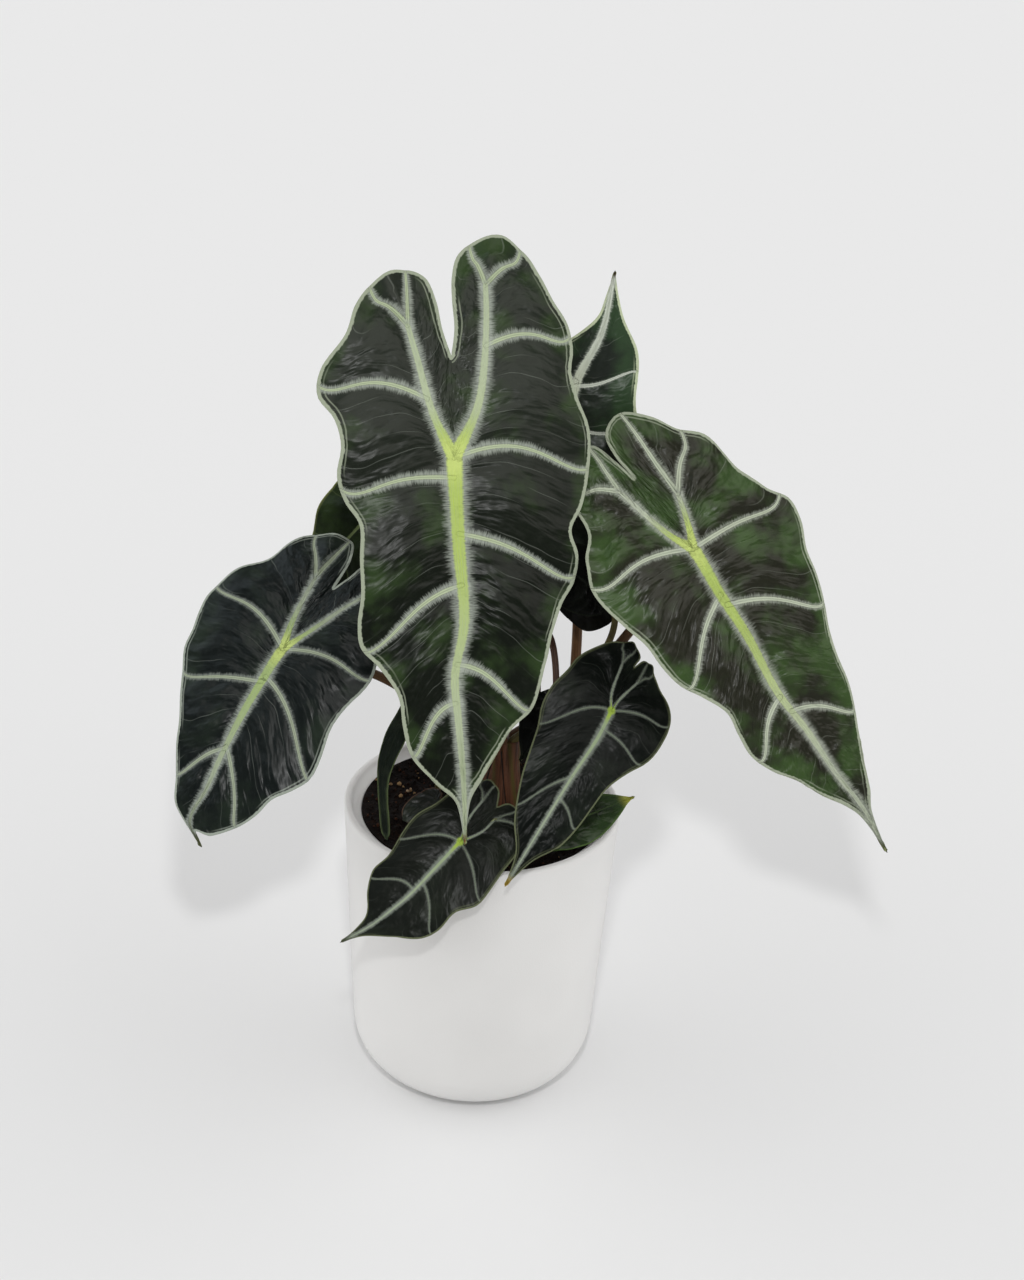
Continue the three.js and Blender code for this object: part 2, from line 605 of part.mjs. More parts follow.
// A round tube with closed ends along points, with a direction and a radius at each.
function tubeGeometry(points, tangents, radii) {
  const count = points.length;
  let side = new THREE.Vector3(0, 1, 0);
  const positions = [];
  points.forEach((point, i) => {
    side = side.clone().addScaledVector(tangents[i], -side.dot(tangents[i])).normalize();
    const other = tangents[i].clone().cross(side);
    for (let s = 0; s < STEM_SIDES; s++) {
      const angle = (2 * Math.PI * s) / STEM_SIDES;
      const ring = point
        .clone()
        .addScaledVector(side, radii[i] * Math.cos(angle))
        .addScaledVector(other, radii[i] * Math.sin(angle));
      positions.push(...ring.toArray());
    }
  });
  const index = [];
  for (let i = 0; i + 1 < count; i++) {
    for (let s = 0; s < STEM_SIDES; s++) {
      const p = i * STEM_SIDES + s;
      const q = i * STEM_SIDES + ((s + 1) % STEM_SIDES);
      index.push(p, q, q + STEM_SIDES, p, q + STEM_SIDES, p + STEM_SIDES);
    }
  }
  const top = (count - 1) * STEM_SIDES;
  for (let s = 1; s + 1 < STEM_SIDES; s++) {
    index.push(0, s + 1, s);
    index.push(top, top + s, top + s + 1);
  }
  return geometryFrom(positions, index);
}

// Where a leaf's stem starts: below the soil in its own hole, or on the crown's top.
function stemFoot({ hole, place }) {
  if (hole) return new THREE.Vector3(...hole, SOIL.top - SOIL.holeDepth + BLADE.stemGap);
  const angle = radians(place);
  return new THREE.Vector3(
    CROWN.centre[0] + CROWN.stemRing * Math.cos(angle),
    CROWN.centre[1] + CROWN.stemRing * Math.sin(angle),
    CROWN.top + BLADE.stemGap,
  );
}

// A stem curves from its foot to just under the hub. lean is where it first heads, and arrive
// is the side that it reaches the blade from, both as offsets in millimetres.
function stemGeometry(leaf, frame) {
  const { hole, lean, arrive, radii } = leaf.stem;
  const [footRadius, topRadius] = radii;
  const foot = stemFoot(leaf.stem);
  const collar = foot.clone();
  if (hole) collar.z = SOIL.top + SOIL.mound;
  const approach = new THREE.Vector3(...arrive);
  const slant = topRadius * Math.sin(approach.angleTo(frame.normal.clone().negate()));
  const under = bladeThickness(leaf) + BLADE.keel + BLADE.stemGap + slant;
  const end = new THREE.Vector3(...leaf.hub).addScaledVector(frame.normal, -under);
  const path = new THREE.CubicBezierCurve3(
    collar,
    collar.clone().add(new THREE.Vector3(...lean)),
    end.clone().add(approach),
    end,
  );
  const points = path.getSpacedPoints(STEM_STEPS);
  const tangents = points.map((_, i) => path.getTangentAt(i / STEM_STEPS));
  if (hole) {
    points.unshift(foot);
    tangents.unshift(new THREE.Vector3(0, 0, 1));
  } else {
    tangents[0].set(0, 0, 1);
  }
  const last = points.length - 1;
  return tubeGeometry(points, tangents, points.map((_, i) => footRadius + (topRadius - footRadius) * (i / last)));
}

// A solid turned about +Z from a profile of [radius, height] points that starts and ends on the
// axis. shape moves each point of the surface.
function turnedGeometry(profile, sides, shape) {
  const geometry = new THREE.LatheGeometry(profile.map((point) => new THREE.Vector2(...point)), sides);
  geometry.rotateX(Math.PI / 2);
  if (shape) {
    const { position } = geometry.attributes;
    for (let i = 0; i < position.count; i++) {
      position.setXYZ(i, ...shape([position.getX(i), position.getY(i), position.getZ(i)]));
    }
    geometry.computeVertexNormals();
  }
  return geometry;
}

// Points on an arc in a profile, from one angle to another in degrees.
function arcPoints([radius, height], size, from, to, steps) {
  return Array.from({ length: steps + 1 }, (_, i) => {
    const angle = radians(from + ((to - from) * i) / steps);
    return [radius + size * Math.cos(angle), height + size * Math.sin(angle)];
  });
}

const WALL_LEAN = Math.atan((POT.rimRadius - POT.footRadius) / POT.height);
const FOOT_CENTRE = [
  POT.footRadius + POT.footRound * Math.tan(WALL_LEAN) - POT.footRound / Math.cos(WALL_LEAN),
  POT.footRound,
];
const INSIDE_CENTRE = [POT.insideRadius - POT.footRound + POT.wall, POT.footRound];

// The pot's outside leans outwards to a rounded lip. Inside, a hollow runs in from the mouth to a
// narrow ledge, and from there the wall goes straight down.
function potGeometry() {
  const lean = THREE.MathUtils.radToDeg(WALL_LEAN);
  const { lip, mouthRadius, insideRadius, ledge, wall } = POT;
  const lipHeight = POT.height - lip;
  const outerLip = [POT.footRadius + lipHeight * Math.tan(WALL_LEAN) - lip / Math.cos(WALL_LEAN), lipHeight];
  const innerLip = [mouthRadius + lip, lipHeight];
  const hollow = arcPoints([insideRadius, lipHeight], 1, 0, -90, 4).map(([radius, height]) => [
    insideRadius + (radius - insideRadius) * (mouthRadius - insideRadius),
    lipHeight + (height - lipHeight) * (lipHeight - ledge),
  ]);
  return turnedGeometry(
    [
      [0, 0],
      ...arcPoints(FOOT_CENTRE, POT.footRound, -90, -lean, 6),
      ...arcPoints(outerLip, lip, -lean, 90, 2),
      ...arcPoints(innerLip, lip, 90, 180, 2),
      ...hollow.slice(1),
      ...arcPoints(INSIDE_CENTRE, POT.footRound - wall, 0, -90, 5),
      [0, wall],
    ],
    POT.sides,
  );
}

// Low mounds on the soil, as a height at a place.
function moundHeight(x, y) {
  return SOIL.mound * 0.5 * (Math.sin(x * 0.21 + 1.3) * Math.cos(y * 0.17) + Math.sin((x - y) * 0.13));
}

// A closed geometry as a solid that can be cut.
function solidOf(geometry) {
  const bare = geometry.clone().deleteAttribute("normal").deleteAttribute("uv");
  const { attributes, index } = mergeVertices(bare);
  return new manifold.Manifold(new manifold.Mesh({
    numProp: 3,
    vertProperties: attributes.position.array,
    triVerts: new Uint32Array(index.array),
  }));
}

// An upright round hole in the soil, as the solid that is taken away.
function holeSolid(x, y, radius, depth) {
  const height = depth + 2 * SOIL.mound + 2;
  const plug = new THREE.CylinderGeometry(radius, radius, height, SOIL.holeSides);
  plug.rotateX(Math.PI / 2);
  plug.translate(x, y, SOIL.top - depth + height / 2);
  return solidOf(plug);
}

function soilGeometry(leaves) {
  const edge = POT.insideRadius - SOIL.clearance;
  const inset = POT.wall + SOIL.clearance;
  const foot = arcPoints(INSIDE_CENTRE, POT.footRound - inset, -90, 0, 5);
  const surface = Array.from({ length: SOIL.rings }, (_, i) => [edge * (1 - i / SOIL.rings), SOIL.top]);
  const bare = turnedGeometry(
    [[0, inset], ...foot, ...surface, [0, SOIL.top]],
    SOIL.sides,
    ([x, y, z]) => {
      const onSurface = Math.abs(z - SOIL.top) < 0.01 && Math.hypot(x, y) < edge - 0.01;
      return [x, y, onSurface ? z + moundHeight(x, y) : z];
    },
  );
  const holes = Object.values(leaves)
    .filter(({ stem }) => stem.hole)
    .map(({ stem }) => holeSolid(...stem.hole, stem.radii[0] + SOIL.holeClearance, SOIL.holeDepth));
  holes.push(holeSolid(...CROWN.centre, CROWN.hole, SOIL.top - CROWN.bottom + BLADE.stemGap));
  const mesh = holes.reduce((soil, hole) => soil.subtract(hole), solidOf(bare)).getMesh();
  return geometryFrom(Array.from(mesh.vertProperties), Array.from(mesh.triVerts));
}

// The crown: the bases of the leaf stalks, wrapped round each other into one fluted stump.
function crownGeometry() {
  const { centre, soilRadius, neckRadius, bottom, top } = CROWN;
  const profile = [
    [0, bottom], [soilRadius * 0.8, bottom], [soilRadius, bottom + 6], [soilRadius, SOIL.top + 4],
    [neckRadius * 1.1, SOIL.top + 16], [neckRadius, top - 14], [neckRadius * 1.03, top - 1.5],
    [neckRadius * 0.93, top], [0, top],
  ];
  return turnedGeometry(profile, CROWN.sides, ([x, y, z]) => {
    const angle = Math.atan2(y, x) + (z - bottom) * CROWN.twist;
    const flute = 1 - CROWN.fluting * (1 - Math.abs(Math.cos((angle * CROWN.sheaths) / 2)));
    return [centre[0] + x * flute, centre[1] + y * flute, z];
  });
}

function named(name, geometry, colour, roughness) {
  const material = new THREE.MeshStandardMaterial({ color: colour, roughness, metalness: 0 });
  const mesh = new THREE.Mesh(geometry, material);
  mesh.name = name;
  return mesh;
}

function buildPlant() {
  const group = new THREE.Group();
  group.name = "potted_alocasia_polly";
  const leaves = Object.fromEntries(
    Object.entries(LEAVES).map(([key, spec]) => [key, spec.tip ? youngLeaf(spec) : spec]),
  );
  group.add(named("pot", potGeometry(), 0xdcdcdc, 0.6));
  group.add(named("soil", soilGeometry(leaves), 0x2a1a14, 0.95));
  group.add(named("crown", crownGeometry(), 0x7a4a3c, 0.6));
  for (const [place, leaf] of Object.entries(leaves)) {
    const frame = bladeFrame(leaf);
    group.add(named(`blade_${place}`, bladeGeometry(leaf, frame), leaf.colour, 0.35));
    group.add(named(`petiole_${place}`, stemGeometry(leaf, frame), 0x8a6248, 0.5));
  }
  return group;
}

export default buildPlant();
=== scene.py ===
"""Potted alocasia polly in a round white pot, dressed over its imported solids.

Shape data is in millimetres with +Z up and -Y to the front, and turns into metres in each mesh.
"""

import json
import logging
import math
from dataclasses import dataclass, field, replace
from enum import Enum
from typing import Any

import bpy
import numpy as np
from mathutils import Matrix

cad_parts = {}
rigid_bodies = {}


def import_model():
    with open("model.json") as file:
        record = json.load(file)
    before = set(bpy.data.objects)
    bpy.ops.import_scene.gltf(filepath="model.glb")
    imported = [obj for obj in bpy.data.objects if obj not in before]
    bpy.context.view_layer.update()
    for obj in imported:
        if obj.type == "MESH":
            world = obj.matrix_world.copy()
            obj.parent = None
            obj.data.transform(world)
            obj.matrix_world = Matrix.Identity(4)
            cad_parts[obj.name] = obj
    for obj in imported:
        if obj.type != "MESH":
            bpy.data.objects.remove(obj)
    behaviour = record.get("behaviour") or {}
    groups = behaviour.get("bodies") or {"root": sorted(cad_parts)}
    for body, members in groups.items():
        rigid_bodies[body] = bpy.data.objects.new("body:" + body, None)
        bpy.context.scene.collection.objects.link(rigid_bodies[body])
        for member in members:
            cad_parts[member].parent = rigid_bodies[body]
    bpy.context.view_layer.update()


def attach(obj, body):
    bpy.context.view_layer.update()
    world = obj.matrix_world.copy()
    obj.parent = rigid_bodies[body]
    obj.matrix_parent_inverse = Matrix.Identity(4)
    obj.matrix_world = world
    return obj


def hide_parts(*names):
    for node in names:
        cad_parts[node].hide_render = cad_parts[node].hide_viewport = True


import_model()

REPORT = logging.getLogger("plant")
MM = 0.001
TAU = 2 * math.pi

# Millimetres round a blade for one step of its map's u
MAP_UNIT = 100.0

Array = np.ndarray
Colour = tuple[float, float, float, float]
Rows = list[list[float]]
Socket = bpy.types.NodeSocket
Material = bpy.types.Material
Tree = bpy.types.NodeTree


def tone(red: float, green: float, blue: float) -> Colour:
    """Return the linear colour of display values from 0 to 255."""
    shares = np.array([red, green, blue]) / 255
    linear = np.where(shares <= 0.04045, shares / 12.92, ((shares + 0.055) / 1.055) ** 2.4)
    return (*linear.tolist(), 1.0)


# Shapes as arrays

def arc_walk(distance: Array, arcs: Rows, first: float = 0.0) -> tuple[Array, Array, Array]:
    """Walk distances along a chain of arcs.

    On each arc the heading turns evenly, so the way along is the change of its sine over the
    turning rate, and the drop is the change of its cosine over that rate.

    Args:
        distance: How far to walk, in millimetres.
        arcs: The [length, degrees] of each arc in turn.
        first: The heading at the start, in degrees.

    Returns:
        How far along and how far down each walk gets, and the heading there in radians.
    """
    turn = math.radians(first)
    along = np.zeros_like(distance)
    drop = np.zeros_like(distance)
    here = np.full_like(distance, turn)
    start = 0.0
    for length, degrees in arcs:
        rate = math.radians(degrees) / length
        step = np.clip(distance - start, 0, length)
        along += (np.sin(turn + rate * step) - math.sin(turn)) / rate
        drop += (math.cos(turn) - np.cos(turn + rate * step)) / rate
        here += rate * step
        turn += rate * length
        start += length
    rest = np.maximum(distance - start, 0)
    return along + rest * math.cos(turn), drop + rest * math.sin(turn), here


def cubic(t: Array, here: Array, rise: Array, slope: Array, exit_slope: Array) -> Array:
    """Return a cubic at t from 0 to 1, from its start, its rise and its slopes at both ends."""
    return here + t * (slope + t * (3 * rise - 2 * slope - exit_slope
                                    + t * (slope + exit_slope - 2 * rise)))


def spline_at(points: Rows, place: Array) -> Array:
    """Return a smooth curve's points, where whole places are the given points themselves.

    Each stretch is a cubic whose end slopes are half the step between the neighbours.
    """
    known = np.array(points, float)
    ends = np.vstack([2 * known[0] - known[1], known, 2 * known[-1] - known[-2]])
    i = np.clip(np.floor(place).astype(int), 0, len(known) - 2)
    before, here, after, beyond = (ends[i + k] for k in range(4))
    return cubic((place - i)[..., None], here, after - here, (after - before) / 2, (beyond - here) / 2)


def drift_at(knots: Rows, along: Array) -> Array:
    """Return the midrib's sideways wander.

    Args:
        knots: The [along, sideways] places that it passes, joined by cubics.
        along: Where it is wanted.

    Returns:
        How far sideways it is there.
    """
    if not knots:
        return np.zeros_like(along)
    x, y = np.array(knots, float).T
    last = len(x) - 1
    low = np.maximum(np.arange(last + 1) - 1, 0)
    high = np.minimum(np.arange(last + 1) + 1, last)
    slopes = (y[high] - y[low]) / (x[high] - x[low])
    i = np.clip(np.searchsorted(x, along, side="right") - 1, 0, last - 1)
    width = x[i + 1] - x[i]
    t = np.clip((along - x[i]) / width, 0, 1)
    return cubic(t, y[i], y[i + 1] - y[i], slopes[i] * width, slopes[i + 1] * width)


def nearest_on(path: Array, points: Array) -> tuple[Array, Array]:
    """Find the place of a polyline that is nearest to each point.

    Args:
        path: The polyline's points.
        points: The points to measure from.

    Returns:
        Each point's distance to the polyline, and how far along it the nearest place is.
    """
    start = path[:-1]
    step = path[1:] - path[:-1]
    size = np.maximum((step ** 2).sum(1), 1e-12)
    offset = points[:, None, :] - start[None]
    share = np.clip((offset * step).sum(2) / size, 0, 1)
    away = np.sqrt(((offset - share[..., None] * step) ** 2).sum(2))
    best = away.argmin(1)
    rows = np.arange(len(points))
    run = np.concatenate([[0], np.cumsum(np.sqrt(size))])
    return away[rows, best], run[best] + share[rows, best] * np.sqrt(size)[best]


def bell(distance: Array, width: float) -> Array:
    """Return 1 at no distance, falling off as exp(-(distance / width)^2)."""
    return np.exp(-(distance / width) ** 2)


def unit(vectors: Array) -> Array:
    """Return vectors scaled to length one."""
    return vectors / np.maximum(np.linalg.norm(vectors, axis=-1, keepdims=True), 1e-12)


def vertex_normals(points: Array, faces: Array) -> Array:
    """Return the area-weighted normal at each point of a triangle mesh."""
    first, second, third = (points[faces[:, k]] for k in range(3))
    turns = np.cross(second - first, third - first)
    sums = np.zeros_like(points)
    for k in range(3):
        np.add.at(sums, faces[:, k], turns)
    return unit(sums)


def ripple(x: Array, y: Array, seed: int, waves: int = 9) -> Array:
    """Return smooth uneven noise from -1 to 1: a sum of sine waves of one size at random headings."""
    draw = np.random.default_rng(seed)
    heading = draw.uniform(0, TAU, waves)
    pitch = draw.uniform(0.6, 1.5, waves)
    phase = draw.uniform(0, TAU, waves)
    total = sum(np.sin(TAU * pitch[k] * (x * np.cos(heading[k]) + y * np.sin(heading[k])) + phase[k])
                for k in range(waves))
    return total / math.sqrt(waves)


def lattice(rows: int, columns: int, wrap: bool = False) -> Array:
    """Return the quads between the points of a grid, row by row.

    Args:
        rows: Number of rows of points.
        columns: Number of points in a row.
        wrap: Whether the last column joins the first.

    Returns:
        Four point numbers for each quad.
    """
    across = columns if wrap else columns - 1
    i, j = np.meshgrid(np.arange(rows - 1), np.arange(across), indexing="ij")
    right = (j + 1) % columns
    corners = [i * columns + j, i * columns + right, (i + 1) * columns + right, (i + 1) * columns + j]
    return np.stack(corners, -1).reshape(-1, 4)


def lattice_cell(rows: int, columns: int, u: Array, v: Array) -> Array:
    """Return the (u, v) of each corner of a wrapped grid's quads, with u on past the seam."""
    i, j = np.meshgrid(np.arange(rows - 1), np.arange(columns), indexing="ij")
    places = [(i, j), (i, j + 1), (i + 1, j + 1), (i + 1, j)]
    return np.stack([np.stack([u[b], v[a]], -1) for a, b in places], -2).reshape(-1, 4, 2)


@dataclass
class Skin:
    """A mesh in the making: points in millimetres, faces, and what the finish reads on them."""

    points: Array
    faces: list[Array]
    cell: list[Array] | None = None
    marks: dict[str, Array] = field(default_factory=dict)
    material_of: Array | None = None

    def piece(self, name: str, materials: list[Material]) -> bpy.types.Object:
        """Return the finished Blender object.

        Args:
            name: The piece's name.
            materials: Its materials, in the order that material_of counts them.

        Returns:
            The object, at the origin and smoothly shaded.
        """
        mesh = bpy.data.meshes.new(name)
        faces = [face for part in self.faces for face in part.tolist()]
        mesh.from_pydata((self.points * MM).tolist(), [], faces)
        for material in materials:
            mesh.materials.append(material)
        mesh.polygons.foreach_set("use_smooth", np.ones(len(faces), bool))
        if self.material_of is not None:
            mesh.polygons.foreach_set("material_index", self.material_of.astype(np.int32))
        if self.cell is not None:
            layer = mesh.uv_layers.new(name="cell")
            flat = np.concatenate([part.reshape(-1, 2) for part in self.cell])
            layer.uv.foreach_set("vector", flat.astype(np.float32).ravel())
        for label, values in self.marks.items():
            mark = mesh.attributes.new(label, "FLOAT", "POINT")
            mark.data.foreach_set("value", values.astype(np.float32))
        mesh.update()
        thing = bpy.data.objects.new(name, mesh)
        bpy.context.scene.collection.objects.link(thing)
        return thing


def swept_skin(rings: Array, v: Array | None = None) -> Skin:
    """Return a closed skin over rings of points, with a fan of triangles over each end.

    Args:
        rings: Points as (ring, place in the ring, xyz), counter-clockwise seen from the last ring.
        v: The map's height of each ring, or even steps from 0 to 1. Its u goes from 0 to 1 round.

    Returns:
        The skin, with its faces pointing outwards.
    """
    count, around = rings.shape[:2]
    u = np.linspace(0, 1, around + 1)
    v = np.linspace(0, 1, count) if v is None else v
    points = np.concatenate([rings.reshape(-1, 3), [rings[0].mean(0)], [rings[-1].mean(0)]])
    place = np.arange(around)
    turned = (place + 1) % around
    low, high = count * around, count * around + 1
    top = (count - 1) * around
    floor = np.stack([np.full(around, low), turned, place], -1)
    roof = np.stack([np.full(around, high), top + place, top + turned], -1)
    flat = [np.stack([np.stack([u[:-1], np.full(around, v[k])], -1)] * 3, 1) for k in (0, -1)]
    return Skin(points, [lattice(count, around, True), floor, roof],
                [lattice_cell(count, around, u, v), *flat])


def turned_rings(profile: Array, sides: int) -> Array:
    """Return rings turned about +Z from a profile of (radius, height), from the bottom up."""
    angle = TAU * np.arange(sides) / sides
    radius, height = profile.T
    return np.stack([radius[:, None] * np.cos(angle), radius[:, None] * np.sin(angle),
                     np.broadcast_to(height[:, None], (len(radius), sides))], -1)


def arc_points(centre: tuple[float, float], size: float, start: float, end: float, steps: int) -> Array:
    """Return points on an arc of a profile, from one angle to another in degrees."""
    angle = np.radians(np.linspace(start, end, steps + 1))
    return np.stack([centre[0] + size * np.cos(angle), centre[1] + size * np.sin(angle)], -1)


# Shader nodes

class Canvas:
    """Adds nodes to a shader tree, one call a node, and hands back their output sockets."""

    def __init__(self, tree: Tree) -> None:
        """Keep the tree that the nodes go into."""
        self.tree = tree

    def feed(self, value: Any, socket: Socket) -> None:
        """Link a socket's output to an input, or set a plain value there."""
        if isinstance(value, Socket):
            self.tree.links.new(value, socket)
        else:
            socket.default_value = value

    def add(self, kind: str, **settings: Any) -> bpy.types.Node:
        """Return a new node with its settings made."""
        node = self.tree.nodes.new(kind)
        for name, value in settings.items():
            setattr(node, name, value)
        return node

    def math(self, operation: str, first: Any, second: Any = 0.0) -> Socket:
        """Return the result of a math operation on one or two values."""
        node = self.add("ShaderNodeMath", operation=operation)
        for value, socket in zip((first, second), node.inputs):
            self.feed(value, socket)
        return node.outputs[0]

    def times(self, *values: Any) -> Socket:
        """Return the product of values."""
        total = values[0]
        for value in values[1:]:
            total = self.math("MULTIPLY", total, value)
        return total

    def plus(self, *values: Any) -> Socket:
        """Return the sum of values."""
        total = values[0]
        for value in values[1:]:
            total = self.math("ADD", total, value)
        return total

    def swing(self, noise: Any, size: float) -> Socket:
        """Return noise set about zero instead of 0.5, and scaled."""
        return self.times(self.math("SUBTRACT", noise, 0.5), size)

    def step(self, value: Any, low: Any, high: Any, bottom: Any = 0.0, top: Any = 1.0) -> Socket:
        """Return a smooth step of a value, bottom at low and top at high."""
        node = self.add("ShaderNodeMapRange", interpolation_type="SMOOTHSTEP")
        for name, given in zip(("Value", "From Min", "From Max", "To Min", "To Max"),
                               (value, low, high, bottom, top)):
            self.feed(given, node.inputs[name])
        return node.outputs[0]

    def blend(self, share: Any, first: Any, second: Any) -> Socket:
        """Return a colour blended from the first to the second by a share."""
        node = self.add("ShaderNodeMix", data_type="RGBA")
        for value, index in ((share, 0), (first, 6), (second, 7)):
            self.feed(value, node.inputs[index])
        return node.outputs[2]

    def vector(self, x: Any, y: Any = 0.0, z: Any = 0.0) -> Socket:
        """Return a vector of three values."""
        node = self.add("ShaderNodeCombineXYZ")
        for value, socket in zip((x, y, z), node.inputs):
            self.feed(value, socket)
        return node.outputs[0]

    def split(self, vector: Any) -> tuple[Socket, ...]:
        """Return a vector's three values."""
        node = self.add("ShaderNodeSeparateXYZ")
        self.feed(vector, node.inputs[0])
        return tuple(node.outputs)

    def noise(self, place: Any, scale: float, detail: float = 2.0, rough: float = 0.5) -> Socket:
        """Return smooth noise about 0.5 at a place."""
        node = self.add("ShaderNodeTexNoise")
        self.feed(place, node.inputs["Vector"])
        for name, value in (("Scale", scale), ("Detail", detail), ("Roughness", rough)):
            node.inputs[name].default_value = value
        return node.outputs[0]

    def mark(self, name: str) -> Socket:
        """Return one of the mesh's own values."""
        return self.add("ShaderNodeAttribute", attribute_name=name).outputs["Fac"]

    def place(self) -> Socket:
        """Return the place in the object's own space, in metres."""
        return self.add("ShaderNodeTexCoord").outputs["Object"]

    def cell(self) -> tuple[Socket, ...]:
        """Return the u and v of the piece's own map."""
        return self.split(self.add("ShaderNodeUVMap", uv_map="cell").outputs[0])[:2]

    def blade_cell(self) -> tuple[Socket, ...]:
        """Return a blade's map: millimetres round it, and the share of the way to its margin."""
        u, v = self.cell()
        return self.times(u, MAP_UNIT), v

    def wound(self, reach: float, rise: float) -> Socket:
        """Return a place on the tube that a stalk's map goes round, where noise has no seam.

        Args:
            reach: The tube's radius, as the noise sees it.
            rise: The tube's length, as the noise sees it.

        Returns:
            The place: the cosine and sine of the turn times the reach, and the height.
        """
        u, v = self.cell()
        turn = self.times(u, TAU)
        return self.vector(self.times(self.math("COSINE", turn), reach),
                           self.times(self.math("SINE", turn), reach), self.times(v, rise))

    def group(self, group: "Group", **inputs: Any) -> dict[str, Socket]:
        """Place a shared node group and return its outputs by name."""
        node = self.add("ShaderNodeGroup", node_tree=group_tree(group))
        for name, value in inputs.items():
            self.feed(value, node.inputs[name])
        return {socket.name: socket for socket in node.outputs}

    def bump(self, height: Any, distance: float, strength: float = 1.0) -> Socket:
        """Return the normal of a surface raised by a height, in metres at a height of one."""
        node = self.add("ShaderNodeBump")
        node.inputs["Distance"].default_value = distance
        node.inputs["Strength"].default_value = strength
        self.feed(height, node.inputs["Height"])
        return node.outputs[0]


class Pattern:
    """A shader node group in the making, with named inputs and outputs."""

    def __init__(self, name: str, inputs: list[str], outputs: list[str]) -> None:
        """Make the group's sockets and its canvas.

        Args:
            name: The group's name.
            inputs: Names of its number inputs. One called Place is a vector.
            outputs: Names of its number outputs.
        """
        self.tree = bpy.data.node_groups.new(name, "ShaderNodeTree")
        for label in inputs:
            kind = "NodeSocketVector" if label == "Place" else "NodeSocketFloat"
            self.tree.interface.new_socket(label, in_out="INPUT", socket_type=kind)
        for label in outputs:
            self.tree.interface.new_socket(label, in_out="OUTPUT", socket_type="NodeSocketFloat")
        self.canvas = Canvas(self.tree)
        self.source = self.tree.nodes.new("NodeGroupInput")
        self.sink = self.tree.nodes.new("NodeGroupOutput")

    def given(self, name: str) -> Socket:
        """Return one of the group's inputs."""
        return self.source.outputs[name]

    def finish(self, **outputs: Socket) -> Tree:
        """Link the outputs and return the group."""
        for name, socket in outputs.items():
            self.tree.links.new(socket, self.sink.inputs[name])
        return self.tree


def feathered_vein() -> Tree:
    """Return the group for a vein with a fringe of short hairs square to it.

    The fringe ends where the distance from the vein passes the halo's width, which noise drawn
    out square to the vein makes longer and shorter hair by hair. Distances are in millimetres.
    """
    hair_pitch, hair_draw = 2.1, 0.24
    slow_pitch, slow_draw = 0.12, 0.05
    fibre_pitch, fibre_draw = 1.7, 0.03
    hair_swing, slow_swing, core_swing, reach_share = 1.25, 0.6, 0.7, 0.92
    fringe_top = 0.32
    pattern = Pattern("feathered_vein", ["Near", "Run", "Core", "Halo"], ["Core", "Halo", "Fibre"])
    pen = pattern.canvas
    near, run = pattern.given("Near"), pattern.given("Run")
    hair = pen.noise(pen.vector(pen.times(run, hair_pitch), pen.times(near, hair_draw)), 1.0, 2.0, 0.6)
    slow = pen.noise(pen.vector(pen.times(run, slow_pitch), pen.times(near, slow_draw)), 1.0, 1.0)
    uneven = pen.plus(pen.swing(hair, hair_swing), pen.swing(slow, slow_swing), reach_share)
    reach = pen.times(pattern.given("Halo"), uneven)
    fringe = pen.step(near, reach, pen.times(reach, fringe_top))
    halo = pen.times(fringe, pen.step(hair, 0.3, 0.6, 0.66, 1.0))
    width = pen.times(pattern.given("Core"), pen.plus(pen.swing(hair, core_swing), 1.0))
    core = pen.step(near, pen.times(width, 1.12), pen.times(width, 0.72))
    fibre = pen.noise(pen.vector(pen.times(near, fibre_pitch), pen.times(run, fibre_draw)), 1.0, 2.0, 0.7)
    return pattern.finish(Core=core, Halo=halo, Fibre=fibre)


def pale_margin() -> Tree:
    """Return the group for a leaf's pale margin: a band, and a thin line that runs inside it.

    The band's width varies by fine noise along the margin. The line lies about twice the band's
    width inside, wanders by slow noise, and is broken where slower noise is low.
    """
    wander_pitch, jag_pitch, gap_pitch = 0.05, 0.8, 0.025
    line_width, line_soft = 0.5, 0.15
    pattern = Pattern("pale_margin", ["Edge", "Run", "Band"], ["Band", "Line"])
    pen = pattern.canvas
    edge, run, band = (pattern.given(name) for name in ("Edge", "Run", "Band"))
    wander = pen.noise(pen.vector(pen.times(run, wander_pitch), 0.7), 1.0, 2.0)
    jag = pen.noise(pen.vector(pen.times(run, jag_pitch), pen.times(edge, 0.3)), 1.0, 1.0)
    width = pen.times(band, pen.plus(pen.swing(jag, 0.7), 1.0))
    mask = pen.step(edge, pen.times(width, 1.1), pen.times(width, 0.75))
    middle = pen.times(band, pen.plus(pen.times(wander, 2.2), 0.7))
    off = pen.math("ABSOLUTE", pen.math("SUBTRACT", edge, middle))
    stretch = pen.noise(pen.vector(pen.times(run, gap_pitch), 3.1), 1.0, 1.0)
    line = pen.times(pen.step(off, line_width, line_soft), pen.step(stretch, 0.48, 0.56))
    return pattern.finish(Band=mask, Line=line)


